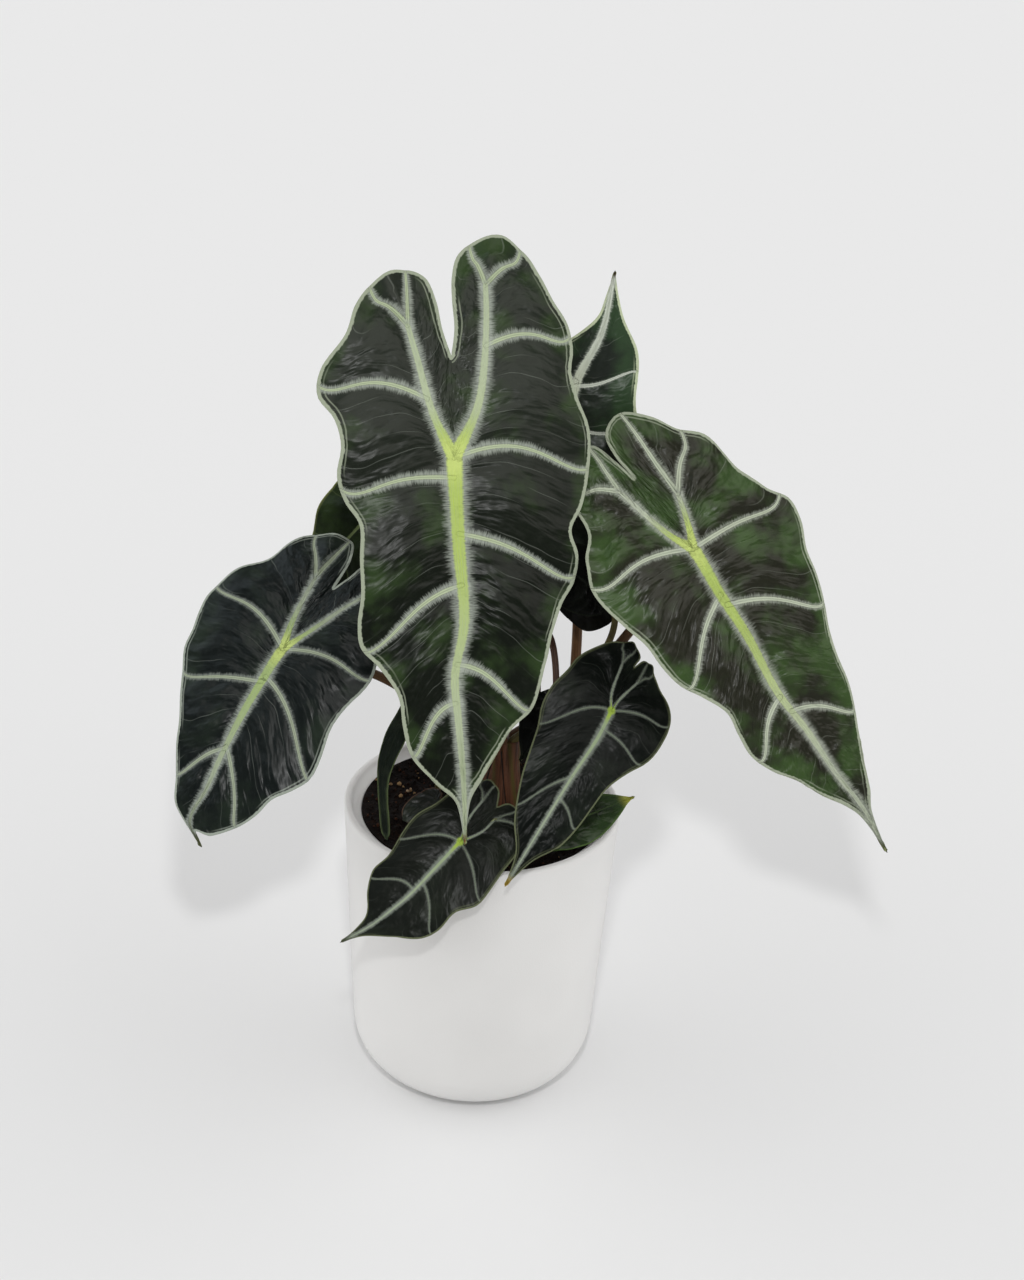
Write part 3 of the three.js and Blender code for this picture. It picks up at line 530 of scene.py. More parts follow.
def leaf_tissue() -> Tree:
    """Return the group for the dark tissue between a leaf's veins.

    Patch is where the green comes through, Thread is the net of thin pale veins that arch from
    the midrib to the margin, and Height is the puckers that run with them. A thread is where the
    way round the blade, swayed by noise, is near the middle of a step of the thread's pitch.
    """
    patch_scale, mottle_scale, dimple_scale = 42.0, 260.0, 60.0
    thread_pitch, thread_width, sway_reach = 8.5, 0.3, 11.0
    pattern = Pattern("leaf_tissue", ["Place", "U", "V"], ["Patch", "Mottle", "Thread", "Height"])
    pen = pattern.canvas
    place, u, v = (pattern.given(name) for name in ("Place", "U", "V"))

    def along(way: Any, pitch: float, rise: float, shift: float) -> Socket:
        """Return a place for noise that is drawn out from the veins to the margin."""
        return pen.vector(pen.times(way, pitch), pen.times(v, rise), shift)

    patch = pen.noise(place, patch_scale, 3.0, 0.55)
    mottle = pen.noise(place, mottle_scale, 4.0, 0.65)
    sway = pen.noise(along(u, 0.035, 1.4, 2.0), 1.0, 2.0)
    bent = pen.plus(u, pen.times(sway, sway_reach))
    phase = pen.math("FRACT", pen.times(bent, 1 / thread_pitch))
    away = pen.times(pen.math("ABSOLUTE", pen.math("SUBTRACT", phase, 0.5)), thread_pitch)
    broken = pen.noise(along(u, 0.07, 1.2, 5.0), 1.0, 2.0)
    thread = pen.times(pen.step(away, thread_width, thread_width * 0.2), pen.step(broken, 0.45, 0.6))
    pucker = pen.noise(along(bent, 0.16, 3.2, 1.0), 1.0, 2.0, 0.4)
    dimple = pen.noise(place, dimple_scale, 2.0, 0.4)
    comb = pen.noise(along(bent, 0.7, 1.6, 7.0), 1.0, 1.0)
    height = pen.plus(pen.times(pucker, 1.2), pen.times(dimple, 0.55), pen.times(comb, 0.06))
    return pattern.finish(Patch=patch, Mottle=mottle, Thread=thread, Height=height)


class Group(Enum):
    """The shader node groups that the leaf finishes share."""

    VEIN = "feathered_vein"
    MARGIN = "pale_margin"
    TISSUE = "leaf_tissue"


GROUPS: dict[Group, Tree] = {}


def group_tree(group: Group) -> Tree:
    """Return a shared node group, made at its first use."""
    makers = {Group.VEIN: feathered_vein, Group.MARGIN: pale_margin, Group.TISSUE: leaf_tissue}
    if group not in GROUPS:
        GROUPS[group] = makers[group]()
    return GROUPS[group]


class Coat(Canvas):
    """The canvas of a new material with one Principled shader."""

    def __init__(self, name: str, specular: float, roughness: float = 0.5) -> None:
        """Start the material.

        Args:
            name: The material's name.
            specular: The shader's constant specular level.
            roughness: The roughness where nothing is linked to it.
        """
        self.material = bpy.data.materials.new(name)
        self.material.use_nodes = True
        super().__init__(self.material.node_tree)
        self.tree.nodes.clear()
        self.shader = self.add("ShaderNodeBsdfPrincipled")
        output = self.add("ShaderNodeOutputMaterial")
        self.feed(self.shader.outputs[0], output.inputs[0])
        self.shader.inputs["Specular IOR Level"].default_value = specular
        self.shader.inputs["Roughness"].default_value = roughness

    def done(self, **sockets: Any) -> Material:
        """Feed the shader's sockets, named with _ for a space, and return the material."""
        for name, value in sockets.items():
            self.feed(value, self.shader.inputs[name.replace("_", " ")])
        return self.material


# Finishes

@dataclass(frozen=True)
class LeafFinish:
    """The upper face of a leaf: dark glossy tissue, feathered pale veins and a pale margin."""

    name: str
    shade: Colour = tone(15, 21, 12)
    green: Colour = tone(44, 62, 30)
    bloom: Colour = tone(52, 56, 48)
    patches: tuple[float, float] = (0.5, 0.78)
    margin_green: float = 0.13
    core: Colour = tone(174, 196, 92)
    far_core: Colour = tone(168, 182, 142)
    hub: Colour = tone(200, 216, 124)
    halo: Colour = tone(166, 172, 160)
    band: Colour = tone(156, 164, 142)
    tip: Colour = tone(140, 92, 48)
    # Painted sheen: on leaves that have it, the tissue blends to a lighter colour above a height, for light
    # on the upper part of the blade
    painted_sheen: Colour | None = None
    painted_sheen_span: tuple[float, float] = (0.29, 0.4)
    # Painted shade: below a height all colour blends to this near black, for the shade on the lower part of
    # a blade
    dark: Colour = tone(12, 14, 10)
    painted_shade_below: float = 0.0
    hub_size: float = 15.0
    hub_spot: float = 2.0
    tip_size: float = 7.0
    vein_core: float = 3.9
    vein_halo: float = 9.4
    rib_core: float = 1.1
    rib_halo: float = 3.8
    rib_share: float = 1.0
    rib_veil: float = 0.5
    margin: float = 1.6
    line: float = 0.5
    thread: float = 0.14
    specular: float = 0.22
    roughness: float = 0.33
    pucker: float = 0.0016

    def plain(self, name: str, core: Colour, **changes: Any) -> "LeafFinish":
        """Return a copy under another name, with one colour for the veins' cores and the hub."""
        return replace(self, name=name, core=core, far_core=core, hub=core, **changes)

    def material(self) -> Material:
        """Return the material, which reads the blade's marks and its cell map."""
        pen = Coat(self.name, self.specular)
        u, v = pen.blade_cell()
        tissue = pen.group(Group.TISSUE, Place=pen.place(), U=u, V=v)
        edge, hub_near, taper = pen.mark("edge_near"), pen.mark("hub_near"), pen.mark("vein_taper")
        vein = pen.group(Group.VEIN, Near=pen.mark("vein_near"), Run=pen.mark("vein_run"),
                         Core=pen.times(taper, self.vein_core),
                         Halo=pen.times(pen.math("POWER", taper, 0.65), self.vein_halo))
        rib_taper = pen.mark("rib_taper")
        rib = pen.group(Group.VEIN, Near=pen.mark("rib_near"), Run=pen.mark("rib_run"),
                        Core=pen.times(rib_taper, self.rib_core), Halo=pen.times(rib_taper, self.rib_halo))
        margin = pen.group(Group.MARGIN, Edge=edge, Run=u, Band=self.margin)
        _, _, up = pen.split(pen.place())
        # Painted sheen: the tissue's ground turns lighter over a band of heights, for light on the upper
        # part of the blade
        ground: Any = self.shade
        if self.painted_sheen:
            ground = pen.blend(pen.step(up, *self.painted_sheen_span), self.shade, self.painted_sheen)
        low, high = self.patches
        lit = pen.plus(tissue["Patch"], pen.step(edge, 18.0, 0.0, 0.0, self.margin_green))
        colour = pen.blend(pen.step(lit, low, high), ground, self.green)
        colour = pen.blend(pen.step(tissue["Mottle"], 0.5, 0.8, 0.0, 0.22), colour, self.bloom)
        colour = pen.blend(pen.times(tissue["Thread"], self.thread), colour, self.halo)
        colour = pen.blend(pen.times(margin["Line"], self.line), colour, self.band)
        colour = pen.blend(pen.times(rib["Halo"], self.rib_veil), colour, self.halo)
        colour = pen.blend(pen.times(rib["Core"], self.rib_share), colour, self.far_core)
        groove = pen.step(pen.mark("rib_near"), 0.34, 0.1, 0.0, 0.3)
        colour = pen.blend(pen.times(groove, rib["Core"]), colour, self.green)
        colour = pen.blend(margin["Band"], colour, self.band)
        colour = pen.blend(pen.times(vein["Halo"], 0.78), colour, self.halo)
        young = pen.math("MAXIMUM", pen.step(taper, 0.4, 0.85), pen.step(hub_near, 30.0, 6.0))
        pith = pen.blend(young, self.far_core, self.core)
        pith = pen.blend(pen.step(vein["Fibre"], 0.35, 0.7, 0.0, 0.3), pith, self.halo)
        colour = pen.blend(vein["Core"], colour, pith)
        hub = pen.times(pen.step(hub_near, self.hub_size, self.hub_size * 0.2), vein["Core"])
        spot = pen.step(hub_near, self.hub_spot * 1.3, self.hub_spot * 0.6)
        colour = pen.blend(pen.times(pen.math("MAXIMUM", hub, spot), 0.85), colour, self.hub)
        tip = pen.step(pen.mark("tip_near"), self.tip_size, self.tip_size * 0.3)
        colour = pen.blend(tip, colour, self.tip)
        # Painted shade: below a height the whole colour, veins too, turns near black, for shade on the
        # blade's lower lobe
        if self.painted_shade_below:
            colour = pen.blend(pen.step(up, self.painted_shade_below, self.painted_shade_below - 0.012), colour, self.dark)
        matt = pen.math("MAXIMUM", pen.math("MAXIMUM", vein["Halo"], margin["Band"]), rib["Halo"])
        gloss = pen.plus(pen.times(tissue["Mottle"], 0.2), self.roughness - 0.1)
        relief = pen.plus(tissue["Height"], pen.times(vein["Fibre"], vein["Core"], 0.25),
                          pen.times(rib["Core"], -0.2), pen.times(tissue["Thread"], -0.03))
        return pen.done(Base_Color=colour, Roughness=pen.plus(gloss, pen.times(matt, 0.26)),
                        Normal=pen.bump(relief, self.pucker))


@dataclass(frozen=True)
class UndersideFinish:
    """The underside of a leaf: dull maroon with greenish veins that stand proud."""

    name: str
    ground: Colour = tone(78, 42, 44)
    green: Colour = tone(70, 82, 56)
    vein: Colour = tone(132, 138, 96)

    def material(self) -> Material:
        """Return the material, which reads the blade's marks and its cell map."""
        pen = Coat(self.name, 0.25)
        u, v = pen.blade_cell()
        tissue = pen.group(Group.TISSUE, Place=pen.place(), U=u, V=v)
        colour = pen.blend(pen.step(tissue["Patch"], 0.4, 0.75, 0.0, 0.7), self.ground, self.green)
        colour = pen.blend(pen.times(tissue["Thread"], 0.45), colour, self.vein)
        rib = pen.step(pen.mark("rib_near"), 1.4, 0.6)
        colour = pen.blend(pen.times(rib, 0.7), colour, self.vein)
        width = pen.times(pen.mark("vein_taper"), 2.8)
        midrib = pen.step(pen.mark("vein_near"), width, pen.times(width, 0.6))
        colour = pen.blend(midrib, colour, self.vein)
        rim = pen.step(pen.mark("edge_near"), 1.6, 0.6)
        colour = pen.blend(pen.times(rim, 0.7), colour, self.vein)
        return pen.done(Base_Color=colour, Roughness=pen.plus(pen.times(tissue["Mottle"], 0.2), 0.45),
                        Normal=pen.bump(tissue["Height"], 0.0007, 0.8))


@dataclass(frozen=True)
class StalkFinish:
    """A leaf stalk: satin brown to olive, streaked and speckled lengthwise."""

    name: str
    foot: Colour = tone(94, 62, 34)
    top: Colour = tone(102, 76, 42)
    streak: Colour = tone(56, 36, 20)
    pale: Colour = tone(124, 98, 60)

    def material(self) -> Material:
        """Return the material, which reads the stalk's cell map: u round it and v up it."""
        pen = Coat(self.name, 0.35)
        fibre = pen.noise(pen.wound(3.2, 3.0), 1.0, 3.0, 0.6)
        fleck = pen.noise(pen.wound(6.0, 60.0), 1.0, 3.0, 0.6)
        colour = pen.blend(pen.step(pen.cell()[1], 0.2, 1.0), self.foot, self.top)
        colour = pen.blend(pen.step(fibre, 0.42, 0.68, 0.0, 0.75), colour, self.streak)
        colour = pen.blend(pen.step(fleck, 0.62, 0.74, 0.0, 0.4), colour, self.pale)
        relief = pen.plus(pen.times(fibre, 0.8), pen.times(fleck, 0.25))
        return pen.done(Base_Color=colour, Roughness=pen.plus(pen.times(fleck, 0.2), 0.36),
                        Normal=pen.bump(relief, 0.0006, 0.7))


@dataclass(frozen=True)
class SheathFinish:
    """The wrapped stalk bases: maroon-brown, with one green stripe down each back."""

    name: str = "maroon_sheath"
    maroon: Colour = tone(104, 66, 46)
    dark: Colour = tone(42, 28, 18)
    stripe: Colour = tone(82, 76, 34)

    def material(self) -> Material:
        """Return the material, which reads the stripe mark and the cell map."""
        pen = Coat(self.name, 0.4)
        fibre = pen.noise(pen.wound(7.0, 1.6), 1.0, 4.0, 0.6)
        colour = pen.blend(pen.step(fibre, 0.4, 0.7, 0.0, 0.8), self.maroon, self.dark)
        colour = pen.blend(pen.times(pen.mark("stripe"), pen.step(fibre, 0.7, 0.4)), colour, self.stripe)
        colour = pen.blend(pen.step(pen.mark("crease"), 0.35, 0.9), colour, self.dark)
        return pen.done(Base_Color=colour, Roughness=pen.plus(pen.times(fibre, 0.25), 0.28),
                        Normal=pen.bump(fibre, 0.0006, 0.6))


@dataclass(frozen=True)
class SoilFinish:
    """Moist potting mix: near-black peat, with fibres and rusty crumbs."""

    name: str = "potting_mix"
    peat: Colour = tone(19, 12, 9)
    rust: Colour = tone(50, 31, 21)

    def material(self) -> Material:
        """Return the material, which reads Object coordinates."""
        pen = Coat(self.name, 0.08)
        coarse = pen.noise(pen.place(), 330.0, 5.0, 0.65)
        fine = pen.noise(pen.place(), 1500.0, 3.0, 0.6)
        colour = pen.blend(pen.step(coarse, 0.5, 0.75), self.peat, self.rust)
        colour = pen.blend(pen.step(fine, 0.4, 0.7, 0.0, 0.6), colour, self.peat)
        return pen.done(Base_Color=colour, Roughness=pen.plus(pen.times(fine, 0.35), 0.5),
                        Normal=pen.bump(pen.plus(coarse, pen.times(fine, 0.4)), 0.0016))


@dataclass(frozen=True)
class CrumbFinish:
    """Loose crumbs on the soil: dark peat, rusty bark, and a few tan and pinkish-white chips."""

    name: str = "soil_crumbs"
    peat: Colour = tone(25, 16, 12)
    bark: Colour = tone(62, 37, 24)
    tan: Colour = tone(146, 118, 84)
    chalk: Colour = tone(176, 150, 124)

    def material(self) -> Material:
        """Return the material, which picks a colour by the crumb's kind."""
        pen = Coat(self.name, 0.1)
        kind = pen.mark("kind")
        grain = pen.noise(pen.place(), 1800.0, 3.0, 0.6)
        colour = pen.blend(pen.step(kind, 0.72, 0.8), self.peat, self.bark)
        colour = pen.blend(pen.step(kind, 0.975, 0.98), colour, self.tan)
        colour = pen.blend(pen.step(kind, 0.99, 0.994), colour, self.chalk)
        colour = pen.blend(pen.step(grain, 0.5, 0.85, 0.0, 0.4), colour, self.peat)
        return pen.done(Base_Color=colour, Roughness=pen.plus(pen.times(grain, 0.3), 0.45),
                        Normal=pen.bump(grain, 0.0006))


@dataclass(frozen=True)
class GlazeFinish:
    """The pot: a smooth matt white glaze with a barely uneven surface."""

    name: str = "matt_white_glaze"
    white: Colour = tone(218, 217, 215)
    shade: Colour = tone(214, 213, 211)
    sheen: float = 0.4
    sheen_roughness: float = 0.6

    def material(self) -> Material:
        """Return the material, which reads Object coordinates."""
        pen = Coat(self.name, 0.06)
        pen.shader.inputs["Sheen Weight"].default_value = self.sheen
        pen.shader.inputs["Sheen Roughness"].default_value = self.sheen_roughness
        cloud = pen.noise(pen.place(), 14.0, 2.0)
        grain = pen.noise(pen.place(), 1400.0, 2.0)
        colour = pen.blend(pen.step(cloud, 0.35, 0.65), self.white, self.shade)
        return pen.done(Base_Color=colour, Roughness=pen.plus(pen.times(grain, 0.1), 0.5),
                        Normal=pen.bump(pen.plus(grain, pen.times(cloud, 4.0)), 0.00006))


# The plant's measures

SOIL_TOP = 152.2
MOUND = 1.4
CROWN_CENTRE = (9.0, 4.0)
CROWN_RADIUS = 12.0
CROWN_TOP = 192.0
STEM_RING = 6.1
KEEL = 1.2
LARGE_BLADE, SMALL_BLADE = 0.9, 0.75


@dataclass(frozen=True)
class Half:
    """One half of a blade. Outline and lobe vein are [along, out] on the flat leaf.

    Each ray is [steps, vein place, edge place, bow], from the notch round the lobe to the tip.
    """

    outline: Rows
    lobe_vein: Rows
    rays: Rows


@dataclass(frozen=True)
class Stem:
    """A leaf's stalk: where it stands, its first heading, its last approach and its radii."""

    lean: list[float]
    arrive: list[float]
    radii: list[float]
    hole: list[float] | None = None
    place: float | None = None


@dataclass(frozen=True)
class Leaf:
    """A leaf's place, bends and halves.

    A young leaf has a tip, a facing and a half width instead, and may have an outline and a lobe
    vein of its own, as shares of its length and half width.
    """

    name: str
    hub: list[float]
    length: float
    stem: Stem
    heading: float = 0.0
    dip: float = 0.0
    roll: float = 0.0
    tip: list[float] | None = None
    facing: list[float] | None = None
    half_width: float = 0.0
    large: bool = False
    tip_bend: Rows = field(default_factory=list)
    lobe_bend: Rows = field(default_factory=list)
    fold: float = -5.0
    curl: list[float] = field(default_factory=list)
    puff: float = 0.0
    wave: float = 0.0
    drift: Rows = field(default_factory=list)
    shape: Rows = field(default_factory=list)
    short_lobe: Rows = field(default_factory=list)
    lobe_share: float = 1.0
    left: Half | None = None
    right: Half | None = None


YOUNG_OUTLINE = [
    [-0.22, 0], [-0.35, 0.13], [-0.42, 0.38], [-0.32, 0.66], [-0.12, 0.9], [0.1, 1],
    [0.3, 0.93], [0.5, 0.72], [0.7, 0.42], [0.86, 0.14], [1, 0],
]
NARROW_OUTLINE = [
    [-0.08, 0], [-0.13, 0.2], [-0.15, 0.5], [-0.08, 0.9], [0.06, 1.12], [0.25, 1], [0.4, 0.8],
    [0.58, 0.52], [0.76, 0.46], [0.93, 0.42], [1, 0],
]
NARROW_LOBE_VEIN = [[-0.04, 0.2], [-0.09, 0.4]]
ROUND_OUTLINE = [
    [-0.1, 0], [-0.2, 0.16], [-0.24, 0.42], [-0.2, 0.72], [-0.04, 0.95], [0.16, 1], [0.4, 0.98],
    [0.6, 0.9], [0.78, 0.72], [0.92, 0.42], [1, 0],
]
ROUND_LOBE_VEIN = [[-0.05, 0.16], [-0.12, 0.35]]
YOUNG_LOBE_VEIN = [[-0.14, 0.2], [-0.27, 0.36]]
YOUNG_RAYS = [
    [0, 0, -1, 0], [2, 0.5, 0, 0], [2, 1, 2.1, 0], [1, 1, 2.9, 0], [2, 1.5, 3.9, 1], [2, 2, 5.1, 2],
    [3, 2.42, 7.1, 2], [3, 3, 10, 0],
]

CENTRE_LEFT = Half(
    outline=[
        [-47, 0], [-60, 4], [-74, 6], [-86, 10], [-90, 20], [-84, 34], [-73, 43], [-58, 49],
        [-44, 60], [-31, 62], [-20, 55], [-7, 52], [6, 54], [18, 51], [29, 45], [44, 46], [60, 47],
        [74, 49], [85, 46], [95, 35], [107, 27], [122, 26], [137, 23], [149, 14], [160, 4], [182, 0],
    ],
    lobe_vein=[[-22, 10], [-49, 17], [-62, 20]],
    rays=[
        [0, 0, -1, 0], [3, 0.4, 0, 0], [4, 1, 3.9, 0], [2, 1, 5.2, 0], [4, 1.6, 8.6, 5],
        [3, 2.05, 12.5, 2], [4, 2.32, 18.2, 5], [4, 2.62, 22, 6], [4, 3, 25, 0],
    ],
)
CENTRE_RIGHT = Half(
    outline=[
        [-47, 0], [-60, 2], [-73, 2], [-86, 3], [-98, 7], [-105, 17], [-105, 30], [-97, 39],
        [-85, 44], [-73, 49], [-62, 56], [-50, 58], [-38, 56], [-25, 59], [-13, 64], [-1, 65],
        [12, 63], [24, 59], [35, 53], [47, 56], [59, 53], [69, 46], [81, 42], [94, 42], [107, 40],
        [118, 35], [126, 25], [136, 17], [147, 9], [159, 3], [182, 0],
    ],
    lobe_vein=[[-22, 11], [-43, 15], [-64, 17], [-81, 18]],
    rays=[
        [0, 0, -1, 0], [3, 0.6, 0, 0], [3, 1, 4.6, 0], [2, 1, 6.7, 0], [3, 1.4, 10.5, 4],
        [3, 2, 15.6, 8], [3, 2.19, 19.8, 3], [4, 2.52, 25, 5], [5, 3, 30, 0],
    ],
)
RIGHT_LEFT = Half(
    outline=[
        [-43, 0], [-56, 2], [-68, 5], [-68, 17], [-58, 26], [-47, 32], [-34, 35], [-25, 44],
        [-14, 50], [-2, 51], [11, 48], [23, 44], [36, 43], [48, 40], [59, 33], [71, 27], [83, 28],
        [96, 29], [108, 25], [119, 18], [131, 13], [142, 7], [155, 3], [180, 0],
    ],
    lobe_vein=[[-11, 5], [-26, 8], [-42, 10]],
    rays=[
        [0, 0, -1, 0], [3, 0.5, 0, 0], [3, 1, 2.2, 0], [2, 1, 4, 0], [3, 1.5, 6.6, 2],
        [3, 2, 8.1, 4], [3, 2.14, 13.3, 3], [4, 2.45, 17.3, 3], [5, 3, 23, 0],
    ],
)
RIGHT_RIGHT = Half(
    outline=[
        [-43, 0], [-57, 0], [-69, 4], [-73, 16], [-62, 25], [-51, 32], [-41, 40], [-28, 42],
        [-15, 43], [-3, 47], [8, 55], [20, 54], [32, 48], [45, 46], [58, 43], [70, 38], [82, 34],
        [95, 31], [107, 27], [119, 21], [130, 15], [142, 9], [155, 3], [180, 0],
    ],
    lobe_vein=[[-10, 5], [-25, 11]],
    rays=[
        [0, 0, -1, 0], [3, 0.5, 0, 0], [3, 1, 3, 0], [2, 1, 5.2, 0], [3, 1.5, 7.6, 2],
        [3, 2, 9.6, 0], [4, 2.17, 14, 3], [4, 2.5, 18.1, 3], [5, 3, 23, 0],
    ],
)
LEFT_LEFT = Half(
    outline=[
        [-39, 0], [-49, 1], [-59, 3], [-68, 8], [-67, 17], [-62, 28], [-52, 34], [-40, 39],
        [-30, 47], [-20, 51], [-10, 52], [0, 49], [9, 46], [19, 45], [29, 40], [40, 34], [52, 27],
        [64, 23], [76, 18], [87, 11], [95, 3], [103, 0],
    ],
    lobe_vein=[[-18, 6], [-40, 11]],
    rays=[
        [0, 0, -1, 0], [3, 0.5, 0, 0], [2, 1, 3.2, 0], [2, 1, 4.8, 0], [2, 1.5, 7, 2],
        [3, 2, 9.4, 5], [3, 2.18, 14.1, 0], [4, 2.53, 18, 2], [4, 3, 21, 0],
    ],
)
LEFT_RIGHT = Half(
    outline=[
        [-39, 0], [-48, 3], [-57, 5], [-60, 13], [-55, 22], [-47, 29], [-38, 34], [-29, 37],
        [-19, 41], [-9, 45], [1, 46], [12, 44], [25, 43], [38, 45], [50, 45], [59, 40], [67, 33],
        [76, 29], [87, 23], [95, 13], [97, 2.5], [103, 0],
    ],
    lobe_vein=[[-14, 6], [-29, 11], [-41, 16]],
    rays=[
        [0, 0, -1, 0], [3, 0.5, 0, 0], [2, 1, 2.6, 0], [2, 1, 4.4, 0], [2, 1.5, 7, 2],
        [3, 2, 9.5, 4], [4, 2.15, 14.2, 6], [3, 2.52, 18, 3], [4, 3, 21, 0],
    ],
)
BACK_LEFT = Half(
    outline=[
        [-30, 0], [-41, 9], [-51, 19], [-59, 29], [-63, 41], [-57, 51], [-43, 52], [-26, 51],
        [-8, 50], [8, 48], [22, 45], [36, 39], [50, 31], [64, 26], [77, 19], [89, 9], [99, 4],
        [110, 0],
    ],
    lobe_vein=[[-22, 14], [-42, 29]],
    rays=[
        [0, 0, -1, 0], [2, 0.4, 0, 0], [3, 1, 3.2, 0], [2, 1, 4.8, 0], [3, 1.6, 6.6, 2],
        [2, 2, 8.6, 3], [3, 2.3, 11.2, 3], [3, 2.47, 13.2, 2], [4, 3, 17, 0],
    ],
)
BACK_RIGHT = Half(
    outline=[
        [-30, 0], [-45, 3], [-57, 10], [-61, 22], [-55, 35], [-43, 44], [-28, 48], [-10, 49],
        [8, 46], [22, 41], [34, 34], [46, 26], [57, 20], [67, 16], [77, 10], [87, 4], [98, 2],
        [110, 0],
    ],
    lobe_vein=[[-24, 9], [-44, 17]],
    rays=[
        [0, 0, -1, 0], [2, 0.4, 0, 0], [3, 1, 2.8, 0], [2, 1, 4.2, 0], [3, 1.6, 5.8, 2],
        [2, 2, 7.8, 3], [3, 2.3, 10.2, 3], [3, 2.49, 12.9, 2], [4, 3, 17, 0],
    ],
)
LOW_RIGHT_LEFT = Half(
    outline=[
        [-25, 0], [-32, 0], [-36, 6], [-32, 13], [-25, 20], [-15, 26], [-5, 28], [5, 31], [15, 31],
        [25, 27], [36, 24], [48, 21], [59, 17], [70, 12], [82, 4], [98, 0],
    ],
    lobe_vein=[[-8, 4], [-24, 6]],
    rays=[
        [0, 0, -1, 0], [2, 0.5, 0, 0], [2, 1, 1.6, 0], [1, 1, 2.6, 0], [2, 1.5, 4.2, 2],
        [2, 2, 8.9, 5], [4, 2.38, 12.3, 2], [3, 3, 15, 0],
    ],
)
LOW_RIGHT_RIGHT = Half(
    outline=[
        [-25, 0], [-31, 3], [-30, 8], [-24, 13], [-19, 21], [-11, 28], [0, 29], [11, 27], [22, 21],
        [33, 17], [45, 16], [57, 15], [69, 12], [81, 5], [98, 0],
    ],
    lobe_vein=[[-7, 1], [-19, 5]],
    rays=[
        [0, 0, -1, 0], [2, 0.5, 0, 0], [2, 1, 1.4, 0], [1, 1, 2.4, 0], [2, 1.5, 3.6, 1],
        [2, 2, 5.2, 2], [3, 2.1, 7.3, 1], [4, 2.5, 11, 1], [3, 3, 14, 0],
    ],
)
LOW_FRONT_LEFT = Half(
    outline=[
        [-25, 0], [-31, 6], [-30, 13], [-23, 17], [-13, 21], [-2, 22], [9, 25], [20, 24], [31, 21],
        [41, 21], [49, 15], [56, 6], [65, 2.5], [76, 0],
    ],
    lobe_vein=[[-10, 5], [-21, 7]],
    rays=[
        [0, 0, -1, 0], [2, 0.5, 0, 0], [2, 1, 1.4, 0], [1, 1, 2.4, 0], [2, 1.5, 4, 2],
        [2, 2, 7.2, 4], [3, 2.42, 9.4, 4], [3, 3, 13, 0],
    ],
)
LOW_FRONT_RIGHT = Half(
    outline=[
        [-25, 0], [-31, 3], [-32, 11], [-28, 18], [-19, 23], [-8, 25], [3, 27], [13, 27], [23, 22],
        [34, 22], [44, 19], [53, 11], [64, 3], [76, 0],
    ],
    lobe_vein=[[-11, 4], [-20, 4]],
    rays=[
        [0, 0, -1, 0], [2, 0.5, 0, 0], [2, 1, 1.6, 0], [1, 1, 2.6, 0], [2, 1.5, 4.2, 2],
        [2, 2, 6.7, 2], [3, 2.34, 9.4, 2], [3, 3, 13, 0],
    ],
)

